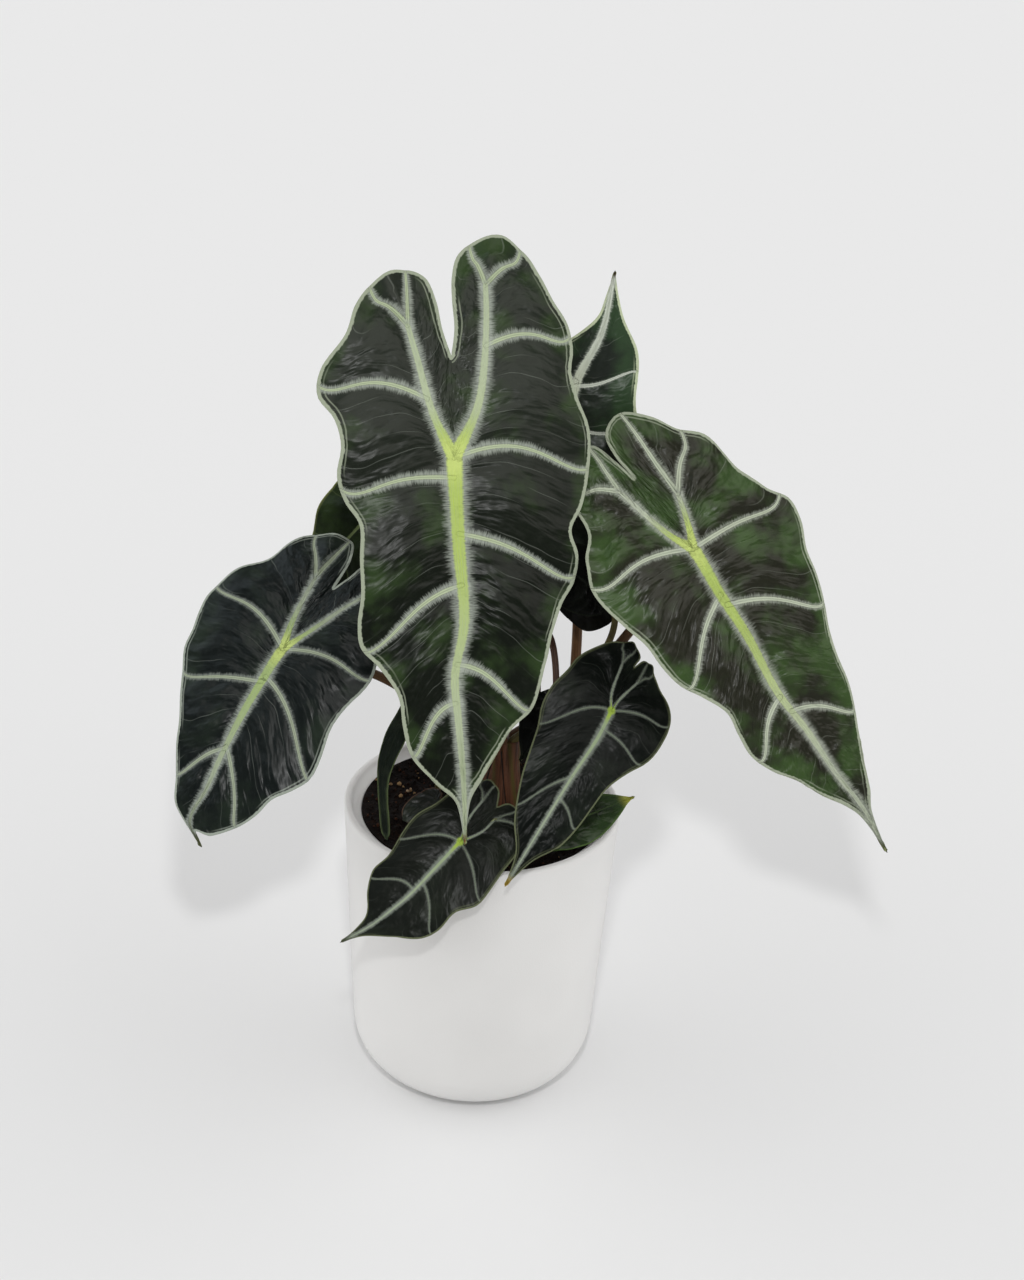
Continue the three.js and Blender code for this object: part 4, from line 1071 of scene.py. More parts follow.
LEAVES = [
    Leaf(
        name="centre", hub=[-20, -22, 351], heading=-77, dip=61, roll=0, length=182, large=True,
        tip_bend=[[60, 5], [60, 7], [70, 8]], lobe_bend=[[60, 8], [60, 14]], fold=-6, curl=[65, 14],
        puff=2.6, wave=1.8,
        drift=[[-110, 3], [-50, 2], [0, 0], [40, 0], [75, 1], [100, -4], [120, -3], [150, -1], [182, 0]],
        left=CENTRE_LEFT, right=CENTRE_RIGHT,
        stem=Stem(place=260, lean=[0, 0, 90], arrive=[4, 38, -24], radii=[2.85, 2.4]),
    ),
    Leaf(
        name="right", hub=[93, -20, 311], heading=-27, dip=45, roll=-40, length=180, large=True,
        tip_bend=[[60, 6], [60, 8], [60, 8]], lobe_bend=[[50, 12], [50, 12]], fold=-6, curl=[50, 14],
        puff=2.2, wave=1.6,
        drift=[[-75, -2], [-43, -2], [0, 0], [22, -2], [48, -3], [77, -6], [102, -4], [128, -3],
               [153, 0], [180, 0]],
        left=RIGHT_LEFT, right=RIGHT_RIGHT,
        stem=Stem(place=20, lean=[37, 3, 23], arrive=[-14, 40, -48], radii=[2.85, 2.1]),
    ),
    Leaf(
        name="left", hub=[-99, -20, 247], heading=-124, dip=43, roll=13, length=103, large=True,
        tip_bend=[[50, 8], [55, 20]], lobe_bend=[[50, 16], [50, 16]], fold=-6, curl=[42, 14],
        puff=2, wave=1.2,
        drift=[[-70, 7], [-39, 6], [0, 0], [25, -2], [57, -3], [76, -3], [94, -5], [103, 4.5]],
        left=LEFT_LEFT, right=LEFT_RIGHT,
        stem=Stem(hole=[-9, 9], lean=[-12, 0, 72], arrive=[26, 14, -12], radii=[2.85, 2]),
    ),
    Leaf(
        name="back", hub=[23, 25, 319], heading=44, dip=-70, roll=-45, length=110, large=True,
        tip_bend=[[60, -6], [48, -6]], lobe_bend=[[50, 8], [50, 8]], fold=-6, curl=[42, 14],
        puff=2, wave=1,
        drift=[[-80, 0], [0, 0], [55, 1], [80, -3], [110, 0]],
        left=BACK_LEFT, right=BACK_RIGHT,
        stem=Stem(hole=[42, 33], lean=[2, 5, 62], arrive=[27, 34, -38], radii=[2.85, 2.3]),
    ),
    Leaf(
        name="low_right", hub=[60, -35, 231], heading=-127, dip=40, roll=35, length=98,
        tip_bend=[[50, 8], [48, 8]], lobe_bend=[[40, 16]], fold=-5, curl=[30, 12], puff=0.9, wave=0.8,
        lobe_share=0.35,
        drift=[[-40, -1], [-24, -1], [0, 0], [15, 1], [39, 0], [98, 0]],
        left=LOW_RIGHT_LEFT, right=LOW_RIGHT_RIGHT,
        stem=Stem(hole=[40, -10], lean=[4, -2, 34], arrive=[-6, 20, -14], radii=[2.2, 1.7]),
    ),
    Leaf(
        name="low_front", hub=[-9, -62, 170], heading=-148, dip=27, roll=35, length=76,
        tip_bend=[[40, 14], [35, 14]], lobe_bend=[[40, 10]], fold=-5, curl=[30, 12], puff=1, wave=0.8,
        lobe_share=0.35,
        drift=[[-40, -4], [-25, -3], [0, 0], [12, 2], [34, 5], [46, 5], [59, 4], [76, 0]],
        left=LOW_FRONT_LEFT, right=LOW_FRONT_RIGHT,
        stem=Stem(hole=[1, -22], lean=[0, 0, 10], arrive=[4, 18, -15], radii=[2, 1.6]),
    ),
    Leaf(
        name="rim_right",
        hub=[43, -33, 165], tip=[73, -15, 172], facing=[0.15, -0.6, 0.8], length=41, half_width=13,
        stem=Stem(hole=[27, -28], lean=[3, -1, 8], arrive=[-8, 5, -4], radii=[1.6, 1.3]),
    ),
    Leaf(
        name="back_left",
        hub=[-65, 42, 290], tip=[-99, 45, 247], facing=[-0.35, -0.75, 0.55], length=56, half_width=27,
        stem=Stem(place=140, lean=[-10, 6, 60], arrive=[14, 28, -22], radii=[2.6, 1.8]),
    ),
    Leaf(
        name="behind_right",
        hub=[46, -1, 281], tip=[18, -8, 305], facing=[-0.1, -0.8, 0.6], length=38, half_width=16,
        stem=Stem(place=320, lean=[35, 2, 29], arrive=[37, 13, -17], radii=[2, 1.5]),
    ),
    Leaf(
        name="inner",
        hub=[33.5, -14, 215], tip=[17.5, -21, 192], facing=[0.1, -0.9, 0.4], length=29, half_width=15,
        stem=Stem(hole=[30, 13], lean=[-15, 10, 126], arrive=[3, 24, 40], radii=[1.9, 1.6]),
    ),
    Leaf(
        name="soil_left", hub=[-37.5, -20, 216], tip=[-48.2, -49.5, 159.5], facing=[-0.35, -0.85, 0.35],
        length=64, half_width=5.4, shape=NARROW_OUTLINE, short_lobe=NARROW_LOBE_VEIN,
        drift=[[-10, 1], [0, 0], [16, -5], [34, -6.6], [54, -2.4], [64, 0]],
        stem=Stem(hole=[-23, 6], lean=[0, 1, 31], arrive=[8, 18, 3], radii=[1.6, 1.2]),
    ),
    Leaf(
        name="seedling", hub=[-22.5, -13, 163], tip=[-38.5, -27, 160], facing=[-0.2, -0.7, 0.7],
        length=21, half_width=8.2, shape=ROUND_OUTLINE, short_lobe=ROUND_LOBE_VEIN,
        stem=Stem(hole=[-17, -6], lean=[0, 0, 4], arrive=[3, 3, -4], radii=[1.2, 1]),
    ),
]


def grown(leaf: Leaf) -> Leaf:
    """Fill in a young leaf from its length and half width.

    Args:
        leaf: Any leaf.

    Returns:
        The full description of a young leaf, and any other leaf as it is.
    """
    if leaf.tip is None:
        return leaf
    size = np.array([leaf.length, leaf.half_width])
    rays = np.array(YOUNG_RAYS) * [1, 1, 1, 0.4 if leaf.short_lobe else 1]
    half = Half((np.array(leaf.shape or YOUNG_OUTLINE) * size).tolist(),
                (np.array(leaf.short_lobe or YOUNG_LOBE_VEIN) * size).tolist(), rays.tolist())
    return replace(
        leaf, left=half, right=half, lobe_share=0.4, tip_bend=[[leaf.length / 2, 6], [leaf.length / 2, 8]],
        lobe_bend=[[leaf.length / 2, 10]], curl=[leaf.half_width, 12],
        puff=leaf.half_width * 0.04, wave=leaf.half_width * 0.03,
    )


@dataclass
class BladeFrame:
    """The directions of a blade at its hub: to the tip, out of the upper face, and across."""

    along: Array
    normal: Array
    across: Array

    @classmethod
    def of(cls, leaf: Leaf) -> "BladeFrame":
        """Work a leaf's frame out.

        Args:
            leaf: The leaf, with a tip and a facing, or with a heading, a dip and a roll.

        Returns:
            The frame.
        """
        if leaf.tip:
            along = unit(np.array(leaf.tip, float) - leaf.hub)
            facing = np.array(leaf.facing, float)
            normal = unit(facing - along * facing.dot(along))
            return cls(along, normal, np.cross(normal, along))
        heading, dip, roll = (math.radians(angle) for angle in (leaf.heading, leaf.dip, leaf.roll))
        level = np.array([math.cos(heading), math.sin(heading), 0])
        up = np.array([0, 0, 1.0])
        along = level * math.cos(dip) - up * math.sin(dip)
        upward = level * math.sin(dip) + up * math.cos(dip)
        normal = upward * math.cos(roll) + np.cross(upward, along) * math.sin(roll)
        return cls(along, normal, np.cross(normal, along))


# The vein place of the ray that holds a lobe's shape without a visible rib
UNSEEN_RIB = 1.5
# Shifts of the runs of one rib or vein against the next, so that their hairs differ
RIB_SHIFT, VEIN_SHIFT = 40.0, 200.0


def path_length(path: Array) -> Array:
    """Return how far along a polyline each of its points is."""
    return np.concatenate([[0], np.cumsum(np.linalg.norm(np.diff(path, axis=0), axis=1))])


@dataclass
class HalfFace:
    """The upper face of one half of a blade: rows of points from the veins to the margin.

    The side is -1 for the left half and 1 for the right. The points have numbers, flat places and
    lifts off the flat leaf, and run is how far round the blade each row is.
    """

    side: int
    ids: Array
    flat: Array
    lift: Array
    run: Array


@dataclass
class Blade:
    """One leaf blade as a fine closed skin, with the marks that its finish reads."""

    leaf: Leaf
    spacing: float = 1.35
    rows: int = 30
    thickness: float = LARGE_BLADE
    keel: float = KEEL
    rib_keel: float = 0.4
    swell: float = 0.22
    pleat: float = 0.16
    rim_steps: int = 4
    seam_steps: int = 14
    fan_steps: int = 12
    hook: float = 4.0

    @classmethod
    def of(cls, leaf: Leaf) -> "Blade":
        """Return a leaf's blade: thinner where it is small, and coarser where it is young."""
        if leaf.tip:
            return cls(leaf, spacing=0.8, rows=18, thickness=SMALL_BLADE, seam_steps=8, fan_steps=6)
        return cls(leaf, thickness=LARGE_BLADE if leaf.large else SMALL_BLADE)

    def midrib_places(self) -> Array:
        """Return the places down the midrib that both halves share, from 2 at the hub to 3 at the tip."""
        rays = self.leaf.left.rays + self.leaf.right.rays
        ties = sorted({row[1] for row in rays if row[1] >= 2})
        cuts = [np.array([2.0])]
        for low, high in zip(ties, ties[1:]):
            steps = math.ceil((high - low) * self.leaf.length / self.spacing)
            cuts.append(low + (high - low) * np.arange(1, steps + 1) / steps)
        return np.concatenate(cuts)

    def lobe_places(self, half: Half) -> Array:
        """Return the places up a lobe vein that its two sides share, from 0 at the hub to 1."""
        length = path_length(np.array([[0, 0], *half.lobe_vein]))[-1]
        first = half.rays[1][1]
        steps = math.ceil((1 - first) * length / self.spacing)
        return np.concatenate([first * np.arange(self.seam_steps + 1) / self.seam_steps,
                               first + (1 - first) * np.arange(1, steps + 1) / steps])

    def vein_place(self, half: Half, vein: Array) -> Array:
        """Return the flat place of each ray's vein end.

        It is on the smooth lobe vein while the vein place is under 2, and on the straight midrib
        beyond.
        """
        spine = [[0.0, 0.0], *half.lobe_vein]
        folded = np.where(vein <= 1, vein, 2 - vein)
        lobe = spline_at(spine, np.clip(folded, 0, 1) * (len(spine) - 1))
        midrib = np.stack([(vein - 2) * self.leaf.length, np.zeros_like(vein)], -1)
        return np.where((vein < 2)[:, None], lobe, midrib)

    def edge_place(self, half: Half, edge: Array) -> Array:
        """Return the flat place of each ray's edge end, on the seam to the notch or the outline."""
        seam = np.stack([half.outline[0][0] * (1 + edge), np.zeros_like(edge)], -1)
        return np.where((edge < 0)[:, None], seam, spline_at(half.outline, np.maximum(edge, 0)))

    def stations(self, half: Half, veins: Array) -> dict[str, Array]:
        """Return the fine rays of one half.

        Args:
            half: The half blade.
            veins: The vein places that it may use, rising from 0 to 3.

        Returns:
            For each fine ray its vein place, edge place, bow, share of the cell, and the number of
            its vein place.
        """
        columns = {name: [np.array([value])] for name, value in
                   (("vein", 0.0), ("edge", -1.0), ("bow", 0.0), ("coarse", 0.0), ("pick", 0))}
        ends = [0.0]
        passed = 0.0
        for before, (steps, vein, edge, bow) in zip(half.rays, half.rays[1:]):
            if vein == before[1]:
                shares = np.arange(1, self.fan_steps + 1) / self.fan_steps
                pick = np.full(self.fan_steps, int(np.argmin(np.abs(veins - vein))))
            else:
                pick = np.flatnonzero((veins > before[1] + 1e-6) & (veins < vein + 1e-6))
                shares = (veins[pick] - before[1]) / (vein - before[1])
            for name, low, high in (("vein", before[1], vein), ("edge", before[2], edge),
                                    ("bow", before[3], bow), ("coarse", passed, passed + steps)):
                columns[name].append(low + (high - low) * shares)
            columns["pick"].append(pick)
            passed += steps
            if edge != 0:
                ends.append(passed)
        result = {name: np.concatenate(parts) for name, parts in columns.items()}
        marks = np.array(ends)
        i = np.clip(np.searchsorted(marks, result["coarse"] - 1e-6, side="right") - 1, 0, len(marks) - 2)
        result["cell"] = (result["coarse"] - marks[i]) / (marks[i + 1] - marks[i])
        return result

    def margin_share(self, half: Half, edge: Array) -> Array:
        """Return 1 along the margin, fading to 0 over the outline's first and last two points."""
        last = len(half.outline) - 1
        return np.clip(edge / 1.5, 0, 1) * np.clip((last - edge) / 2, 0, 1)

    def ray_points(self, half: Half, vein: Array, edge: Array, bow: Array, r: Array) -> Array:
        """Return flat places on rays from vein to edge.

        A ray is straight, less a bow of 4 b r (1 - r) along the leaf, and near the margin it hooks
        towards the tip by h 14.93 r^5 (1 - r), which is h at its most. The hook h is for a leaf of
        180 mm, and other leaves scale it.

        Args:
            half: The half blade.
            vein: Each ray's vein place.
            edge: Each ray's edge place.
            bow: Each ray's bow b, in millimetres.
            r: The shares of the way from vein to edge.

        Returns:
            The places as (ray, share, along and out).
        """
        start = self.vein_place(half, vein)[:, None, :]
        end = self.edge_place(half, edge)[:, None, :]
        flat = start + (end - start) * r[None, :, None]
        hook = self.hook * self.leaf.length / 180 * self.margin_share(half, edge)
        flat[..., 0] += hook[:, None] * 14.93 * r ** 5 * (1 - r) - 4 * bow[:, None] * r * (1 - r)
        return flat

    def bent(self, frame: BladeFrame, flat: Array, lift: Array) -> Array:
        """Return the bent blade's points in space.

        The leaf bends along its length and across it on chains of arcs, and a lift moves a point
        off the upper face.

        Args:
            frame: The blade's directions at its hub.
            flat: The points' flat places.
            lift: How far each point is off the flat leaf, in millimetres.

        Returns:
            The points in the plant's own space.
        """
        leaf = self.leaf
        a, c = flat[:, 0], flat[:, 1]
        front = a >= 0
        walks = [arc_walk(np.abs(a), bend) for bend in (leaf.tip_bend, leaf.lobe_bend)]
        along, drop, turn = (np.where(front, ahead, behind) for ahead, behind in zip(*walks))
        turn = np.where(front, turn, -turn)
        side, fall, _ = arc_walk(np.abs(c), [leaf.curl], leaf.fold)
        rise = lift - fall
        return (np.array(leaf.hub, float)
                + np.outer(np.sign(a) * along + rise * np.sin(turn), frame.along)
                + np.outer(rise * np.cos(turn) - drop, frame.normal)
                + np.outer(drift_at(leaf.drift, a) + np.sign(c) * side, frame.across))

    def marks(self, flat: Array, ribs: list[Array], lobes: list[Array], outline: Array) -> dict[str, Array]:
        """Return the distances, in flat millimetres, that the finish reads at each point.

        With s the share of the way along a vein, the midrib narrows as 1 - 0.78 s^0.9, a lobe vein
        as 0.58 - 0.24 s with 0.3 more at the hub that is gone a quarter of the way along, and a rib
        as 1.05 - 0.5 s.

        Args:
            flat: The points' flat places.
            ribs: The ribs' paths.
            lobes: The lobe veins' paths.
            outline: The blade's closed outline.

        Returns:
            Distances to the main veins, ribs, margin, hub and tip, with the run and taper there.
        """
        length = self.leaf.length
        midrib = np.stack([np.linspace(0, length, 60), np.zeros(60)], -1)
        veins = [nearest_on(path, flat) for path in (midrib, *lobes)]
        spans = np.array([length, *(path_length(path)[-1] for path in lobes)])
        near = np.stack([away for away, _ in veins])
        best = near.argmin(0)
        run = np.stack([run for _, run in veins])[best, np.arange(len(flat))]
        share = run / spans[best]
        lobe_taper = (0.58 - 0.24 * share + 0.3 * np.clip(1 - 4 * share, 0, 1)) * self.leaf.lobe_share
        taper = np.where(best == 0, 1 - 0.78 * share ** 0.9, lobe_taper)
        rib_near = np.full(len(flat), np.inf)
        rib_run = np.zeros(len(flat))
        rib_taper = np.ones(len(flat))
        for number, path in enumerate(ribs):
            away, way = nearest_on(path, flat)
            closer = away < rib_near
            rib_near = np.where(closer, away, rib_near)
            rib_run = np.where(closer, way + RIB_SHIFT * number, rib_run)
            rib_taper = np.where(closer, 1.05 - 0.5 * way / path_length(path)[-1], rib_taper)
        edge_near, _ = nearest_on(outline, flat)
        return {
            "vein_near": near.min(0), "vein_run": run + VEIN_SHIFT * best, "vein_taper": taper,
            "rib_near": rib_near, "rib_run": rib_run, "rib_taper": rib_taper,
            "edge_near": edge_near, "hub_near": np.linalg.norm(flat, axis=1),
            "tip_near": np.linalg.norm(flat - [length, 0], axis=1),
        }

    def lines(self, side: int, half: Half) -> tuple[list[Array], Array, Array]:
        """Return the paths of one half's ribs, of its lobe vein and of its outline."""
        flip = np.array([1, side])
        way = np.linspace(0, 1, 28)
        ribs = [self.ray_points(half, *np.array(row[1:], float)[:, None], way)[0] * flip
                for row in half.rays[2:-1] if row[1] != UNSEEN_RIB]
        lobe = self.vein_place(half, np.linspace(0, 1, 40)) * flip
        last = len(half.outline) - 1
        return ribs, lobe, self.edge_place(half, np.linspace(0, last, 8 * last + 1)) * flip

    def half_face(self, side: int, half: Half, r: Array, midrib: Array, used: int) -> HalfFace:
        """Return one half's upper face.

        Between two ribs, c is the share of the way from one to the next, and r that from vein to
        margin. The face puffs up by 4 p r (1 - r) sin(pi c), the margin waves down by
        w r^3 cos(2 pi c), and pleats of noise fade by sin(pi r) towards both ends.

        Args:
            side: -1 for the left half and 1 for the right.
            half: The half's outline, lobe vein and rays.
            r: The shares of the way from vein to margin at which there are points.
            midrib: The places down the midrib, whose points have the first numbers.
            used: How many point numbers are taken, with those of the seam to the notch.

        Returns:
            The half, numbered on from the used numbers.
        """
        leaf = self.leaf
        lobe = self.lobe_places(half)
        lobe_ids = np.concatenate([[0], used + np.arange(len(lobe) - 1)])
        veins = np.concatenate([lobe, 2 - lobe[-2::-1], midrib[1:]])
        vein_ids = np.concatenate([lobe_ids, lobe_ids[-2::-1], np.arange(1, len(midrib))])
        rays = self.stations(half, veins)
        flat = self.ray_points(half, rays["vein"], rays["edge"], rays["bow"], r)
        rows = len(flat)
        ids = used + len(lobe) - 1 + np.arange(rows * len(r)).reshape(rows, -1)
        ids[:, 0] = vein_ids[rays["pick"]]
        ids[: self.seam_steps + 1, -1] = np.concatenate([[0], len(midrib) + np.arange(self.seam_steps)])
        ids[0] = 0
        ids[-1] = len(midrib) - 1
        run = path_length(flat[:, len(r) // 2])
        share = self.margin_share(half, rays["edge"])[:, None]
        puff = leaf.puff * np.sin(math.pi * rays["cell"])[:, None] * 4 * r * (1 - r)
        wave = leaf.wave * np.cos(TAU * rays["cell"])[:, None] * r ** 3
        seed = 5 if side < 0 else 6
        pleat = self.pleat * ripple(run[:, None] / 9, r[None] * 1.6, seed) * np.sin(math.pi * r)
        return HalfFace(side, ids, flat * [1, side], (puff - wave) * share + pleat, run)

    def skin(self) -> Skin:
        """Return the blade's closed skin: an upper and a lower face with a rounded rim.

        The upper face swells over the main veins and sinks at the ribs. The lower face lies under
        it by the blade's thickness, less towards the margin, with a keel along each vein. Swells
        and keels fall off as exp(-(distance / width)^2).
        """
        t = np.linspace(0, 1, self.rows + 1)
        r = 0.55 * t + 0.45 * (1 - np.cos(math.pi * t)) / 2
        midrib = self.midrib_places()
        used = len(midrib) + self.seam_steps
        halves, ribs, lobes, outlines = [], [], [], []
        for side, half in ((-1, self.leaf.left), (1, self.leaf.right)):
            face = self.half_face(side, half, r, midrib, used)
            halves.append(face)
            used = face.ids.max() + 1
            half_ribs, lobe, outline = self.lines(side, half)
            ribs += half_ribs
            lobes.append(lobe)
            outlines.append(outline)
        flat = np.zeros((used, 2))
        lift = np.zeros(used)
        triangles, cells = [], []
        for face in halves:
            flat[face.ids] = face.flat
            lift[face.ids] = face.lift
            quads = lattice(*face.ids.shape)
            grid = np.broadcast_arrays(face.run[:, None] / MAP_UNIT, r[None])
            corner = np.stack(grid, -1).reshape(-1, 2)
            if face.side > 0:
                quads = quads[:, ::-1]
            for pick in ([0, 1, 2], [0, 2, 3]):
                triangles.append(face.ids.ravel()[quads[:, pick]])
                cells.append(corner[quads[:, pick]])
        faces = np.concatenate(triangles)
        whole = (faces != np.roll(faces, -1, 1)).all(1)
        faces, cell = faces[whole], np.concatenate(cells)[whole]
        kept, packed = np.unique(faces, return_inverse=True)
        faces = packed.reshape(faces.shape)
        number = np.full(used, -1)
        number[kept] = np.arange(len(kept))
        left, right = (face.ids[self.seam_steps:, -1] for face in halves)
        loop = number[np.concatenate([right, left[:-1][:0:-1]])]
        flat, lift = flat[kept], lift[kept]
        marks = self.marks(flat, ribs, lobes, np.concatenate([outlines[1], outlines[0][::-1]]))
        lift += self.swell * (bell(marks["vein_near"], 2.4) * marks["vein_taper"]
                              - bell(marks["rib_near"], 1.0))
        upper = self.bent(BladeFrame.of(self.leaf), flat, lift)
        normals = vertex_normals(upper, faces)
        inside = np.clip(marks["edge_near"] / 10, 0, 1)
        depth = (self.thickness * (0.55 + 0.45 * inside)
                 + self.keel * bell(marks["vein_near"], 2.6) * np.clip(marks["vein_taper"], 0, 1)
                 + self.rib_keel * bell(marks["rib_near"], 1.1) * inside)
        lower = upper - normals * depth[:, None]
        return self.closed(upper, lower, normals, faces, cell, marks, loop)

    def closed(self, upper: Array, lower: Array, normals: Array, faces: Array, cell: Array,
               marks: dict[str, Array], loop: Array) -> Skin:
        """Return the skin of both faces, joined by a half-round rim.

        A rim point is midway between the faces, moved out by half the thickness times the cosine
        of an angle, and up by half the thickness times its sine.

        Args:
            upper: The upper face's points.
            lower: The lower face's points, in the same order.
            normals: The upper face's normals.
            faces: The upper face's triangles.
            cell: The map at each triangle's corners.
            marks: The marks at each point.
            loop: The points of the margin, in order.

        Returns:
            The skin, whose lower face has the second material.
        """
        count = len(upper)
        top, bottom, normal = upper[loop], lower[loop], normals[loop]
        tangent = unit(np.roll(top, -1, 0) - np.roll(top, 1, 0))
        outward = np.cross(tangent, normal)
        edges = np.concatenate([faces[:, [0, 1]], faces[:, [1, 2]], faces[:, [2, 0]]])
        same = bool((edges == loop[:2]).all(1).any())
        if not same:
            outward = -outward
        half = np.linalg.norm(top - bottom, axis=1)[:, None] / 2
        angles = np.radians(np.linspace(90, -90, self.rim_steps + 1))[1:-1]
        middle = (top + bottom) / 2
        rows = [middle + outward * half * math.cos(angle) + (top - bottom) / 2 * math.sin(angle)
                for angle in angles]
        size = len(loop)
        starts = [loop, *(2 * count + k * size + np.arange(size) for k in range(len(rows))), loop + count]
        rim, rim_cell = [], []
        for high, low in zip(starts, starts[1:]):
            quad = np.stack([np.roll(high, -1), high, low, np.roll(low, -1)], -1)
            quad = quad if same else quad[:, ::-1]
            rim.append(quad)
            rim_cell.append(np.full((size, 4, 2), [0.5, 1.0]))
        points = np.concatenate([upper, lower, *rows])
        spread = {name: np.concatenate([values, values, *[values[loop]] * len(rows)])
                  for name, values in marks.items()}
        materials = np.concatenate([np.zeros(len(faces)), np.ones(len(faces)), np.zeros(size * len(rim))])
        return Skin(points, [faces, faces[:, ::-1] + count, *rim], [cell, cell[:, ::-1], *rim_cell],
                    spread, materials)


@dataclass
class Stalk:
    """A leaf's stalk, from the soil or the crown to the blade's underside."""

    leaf: Leaf
    thickness: float
    hole_depth: float = 7.0
    gap: float = 0.35
    top_flare: float = 0.16
    foot_flare: float = 0.1
    flare_share: float = 0.05
    groove: float = 0.07
    steps: int = 64
    around: int = 22

    def foot(self) -> Array:
        """Return where the stalk starts: in its hole in the soil, or just inside the crown's top."""
        stem = self.leaf.stem
        if stem.hole:
            return np.array([*stem.hole, SOIL_TOP - self.hole_depth + self.gap])
        angle = math.radians(stem.place)
        x, y = CROWN_CENTRE
        return np.array([x + STEM_RING * math.cos(angle), y + STEM_RING * math.sin(angle),
                         CROWN_TOP + self.gap])

    def path(self) -> tuple[Array, Array]:
        """Return the stalk's middle line and its radius there.

        The line is a cubic curve of four points: the collar, the collar plus its lean, the end
        plus the side that it arrives from, and the end under the hub. It is drawn out a little
        past both ends, and the radius flares there as a bell.
        """
        stem, frame = self.leaf.stem, BladeFrame.of(self.leaf)
        foot = self.foot()
        collar = foot.copy()
        if stem.hole:
            collar[2] = SOIL_TOP + MOUND
        approach = np.array(stem.arrive, float)
        cosine = -unit(approach).dot(frame.normal)
        slant = stem.radii[1] * math.sqrt(max(0.0, 1 - cosine ** 2))
        under = self.thickness + KEEL + self.gap + slant
        end = np.array(self.leaf.hub) - frame.normal * under
        knots = [collar, collar + stem.lean, end + approach, end]
        t = np.linspace(0, 1, 400)[:, None]
        curve = sum(weight * (1 - t) ** (3 - k) * t ** k * knots[k]
                    for k, weight in enumerate((1, 3, 3, 1)))
        run = path_length(curve)
        even = np.linspace(0, run[-1], self.steps)
        line = np.stack([np.interp(even, run, curve[:, k]) for k in range(3)], -1)
        below = foot if stem.hole else foot - [0, 0, 4]
        above = np.array(self.leaf.hub) - frame.normal * (self.thickness * 0.8 + slant)
        line = np.concatenate([[below], line, [above]])
        share = np.linspace(0, 1, len(line))
        radius = stem.radii[0] + (stem.radii[1] - stem.radii[0]) * share
        flare = (1 + self.top_flare * bell(1 - share, self.flare_share)
                 + self.foot_flare * bell(share, self.flare_share))
        return line, radius * flare

    def skin(self) -> Skin:
        """Return the stalk's skin: rings square to the line, with a shallow groove up the front."""
        line, radius = self.path()
        tangent = unit(np.gradient(line, axis=0))
        tangent[0] = [0, 0, 1]
        side = unit(np.array([0, 1.0, 0]) - tangent * tangent[:, 1:2])
        other = np.cross(tangent, side)
        angle = TAU * np.arange(self.around) / self.around
        groove = 1 - self.groove * np.exp(-4 * (1 + np.cos(angle)))
        reach = radius[:, None, None] * groove[None, :, None]
        rings = (line[:, None] + reach * (side[:, None] * np.cos(angle)[None, :, None]
                                          + other[:, None] * np.sin(angle)[None, :, None]))
        run = path_length(line)
        return swept_skin(rings, run / run[-1])


@dataclass
class Crown:
    """The wrapped bases of the leaf stalks, standing in the soil."""

    places: list[float]
    neck_radius: float = 9.4
    bottom: float = 139.0
    stem_radius: float = 3.2
    sheaths: int = 6
    twist: float = 0.012
    lap: float = 0.07
    crease_depth: float = 0.05
    crease_width: float = 0.06
    rows: int = 90
    around: int = 144

    def stalks_outline(self, angle: Array) -> Array:
        """Return the outline of a ring of circles, where the stalks stand, made smooth.

        Args:
            angle: The headings from the crown's middle.

        Returns:
            The furthest reach of the circles at each heading.
        """
        reach = np.full(self.around, STEM_RING * 0.6)
        for place in self.places:
            off = angle - math.radians(place)
            inside = self.stem_radius ** 2 - (STEM_RING * np.sin(off)) ** 2
            far = STEM_RING * np.cos(off) + np.sqrt(np.maximum(inside, 0))
            reach = np.where((inside > 0) & (np.cos(off) > 0), np.maximum(reach, far), reach)
        return sum(np.roll(reach, k) * weight
                   for k, weight in ((-2, 1), (-1, 2), (0, 3), (1, 2), (2, 1))) / 9

    def skin(self) -> Skin:
        """Return the crown's skin.

        The radius follows the profile, pressed in by a slanting step and a crease at the edge of
        each sheath. Near the top it turns into the outline of the stalks that stand there.
        """
        heights = np.linspace(self.bottom, CROWN_TOP, self.rows)
        knots = [(self.bottom, CROWN_RADIUS * 0.8), (self.bottom + 6, CROWN_RADIUS),
                 (SOIL_TOP + 4, CROWN_RADIUS), (SOIL_TOP + 16, self.neck_radius * 1.1),
                 (CROWN_TOP - 14, self.neck_radius), (CROWN_TOP, self.neck_radius * 1.02)]
        base = np.interp(heights, *zip(*knots))
        angle = TAU * np.arange(self.around) / self.around
        turn = (angle[None] + (heights[:, None] - self.bottom) * self.twist) * self.sheaths / TAU
        saw = turn % 1.0
        crease = bell(np.minimum(saw, 1 - saw), self.crease_width)
        wrapped = base[:, None] * (1 - self.lap + self.lap * saw ** 1.6 - self.crease_depth * crease)
        blend = np.clip((heights - (CROWN_TOP - 26)) / 24, 0, 1)[:, None]
        blend = blend ** 2 * (3 - 2 * blend)
        stalks = np.minimum(self.stalks_outline(angle)[None] + 0.3, wrapped)
        radius = wrapped * (1 - blend) + stalks * blend
        x, y = CROWN_CENTRE
        rings = np.stack([x + radius * np.cos(angle), y + radius * np.sin(angle),
                          np.broadcast_to(heights[:, None], radius.shape)], -1)
        skin = swept_skin(rings)
        stripe = bell(saw - 0.5, 0.12)
        tail = np.zeros(2)
        skin.marks = {"stripe": np.concatenate([stripe.ravel(), tail]),
                      "crease": np.concatenate([crease.ravel(), tail])}
        return skin


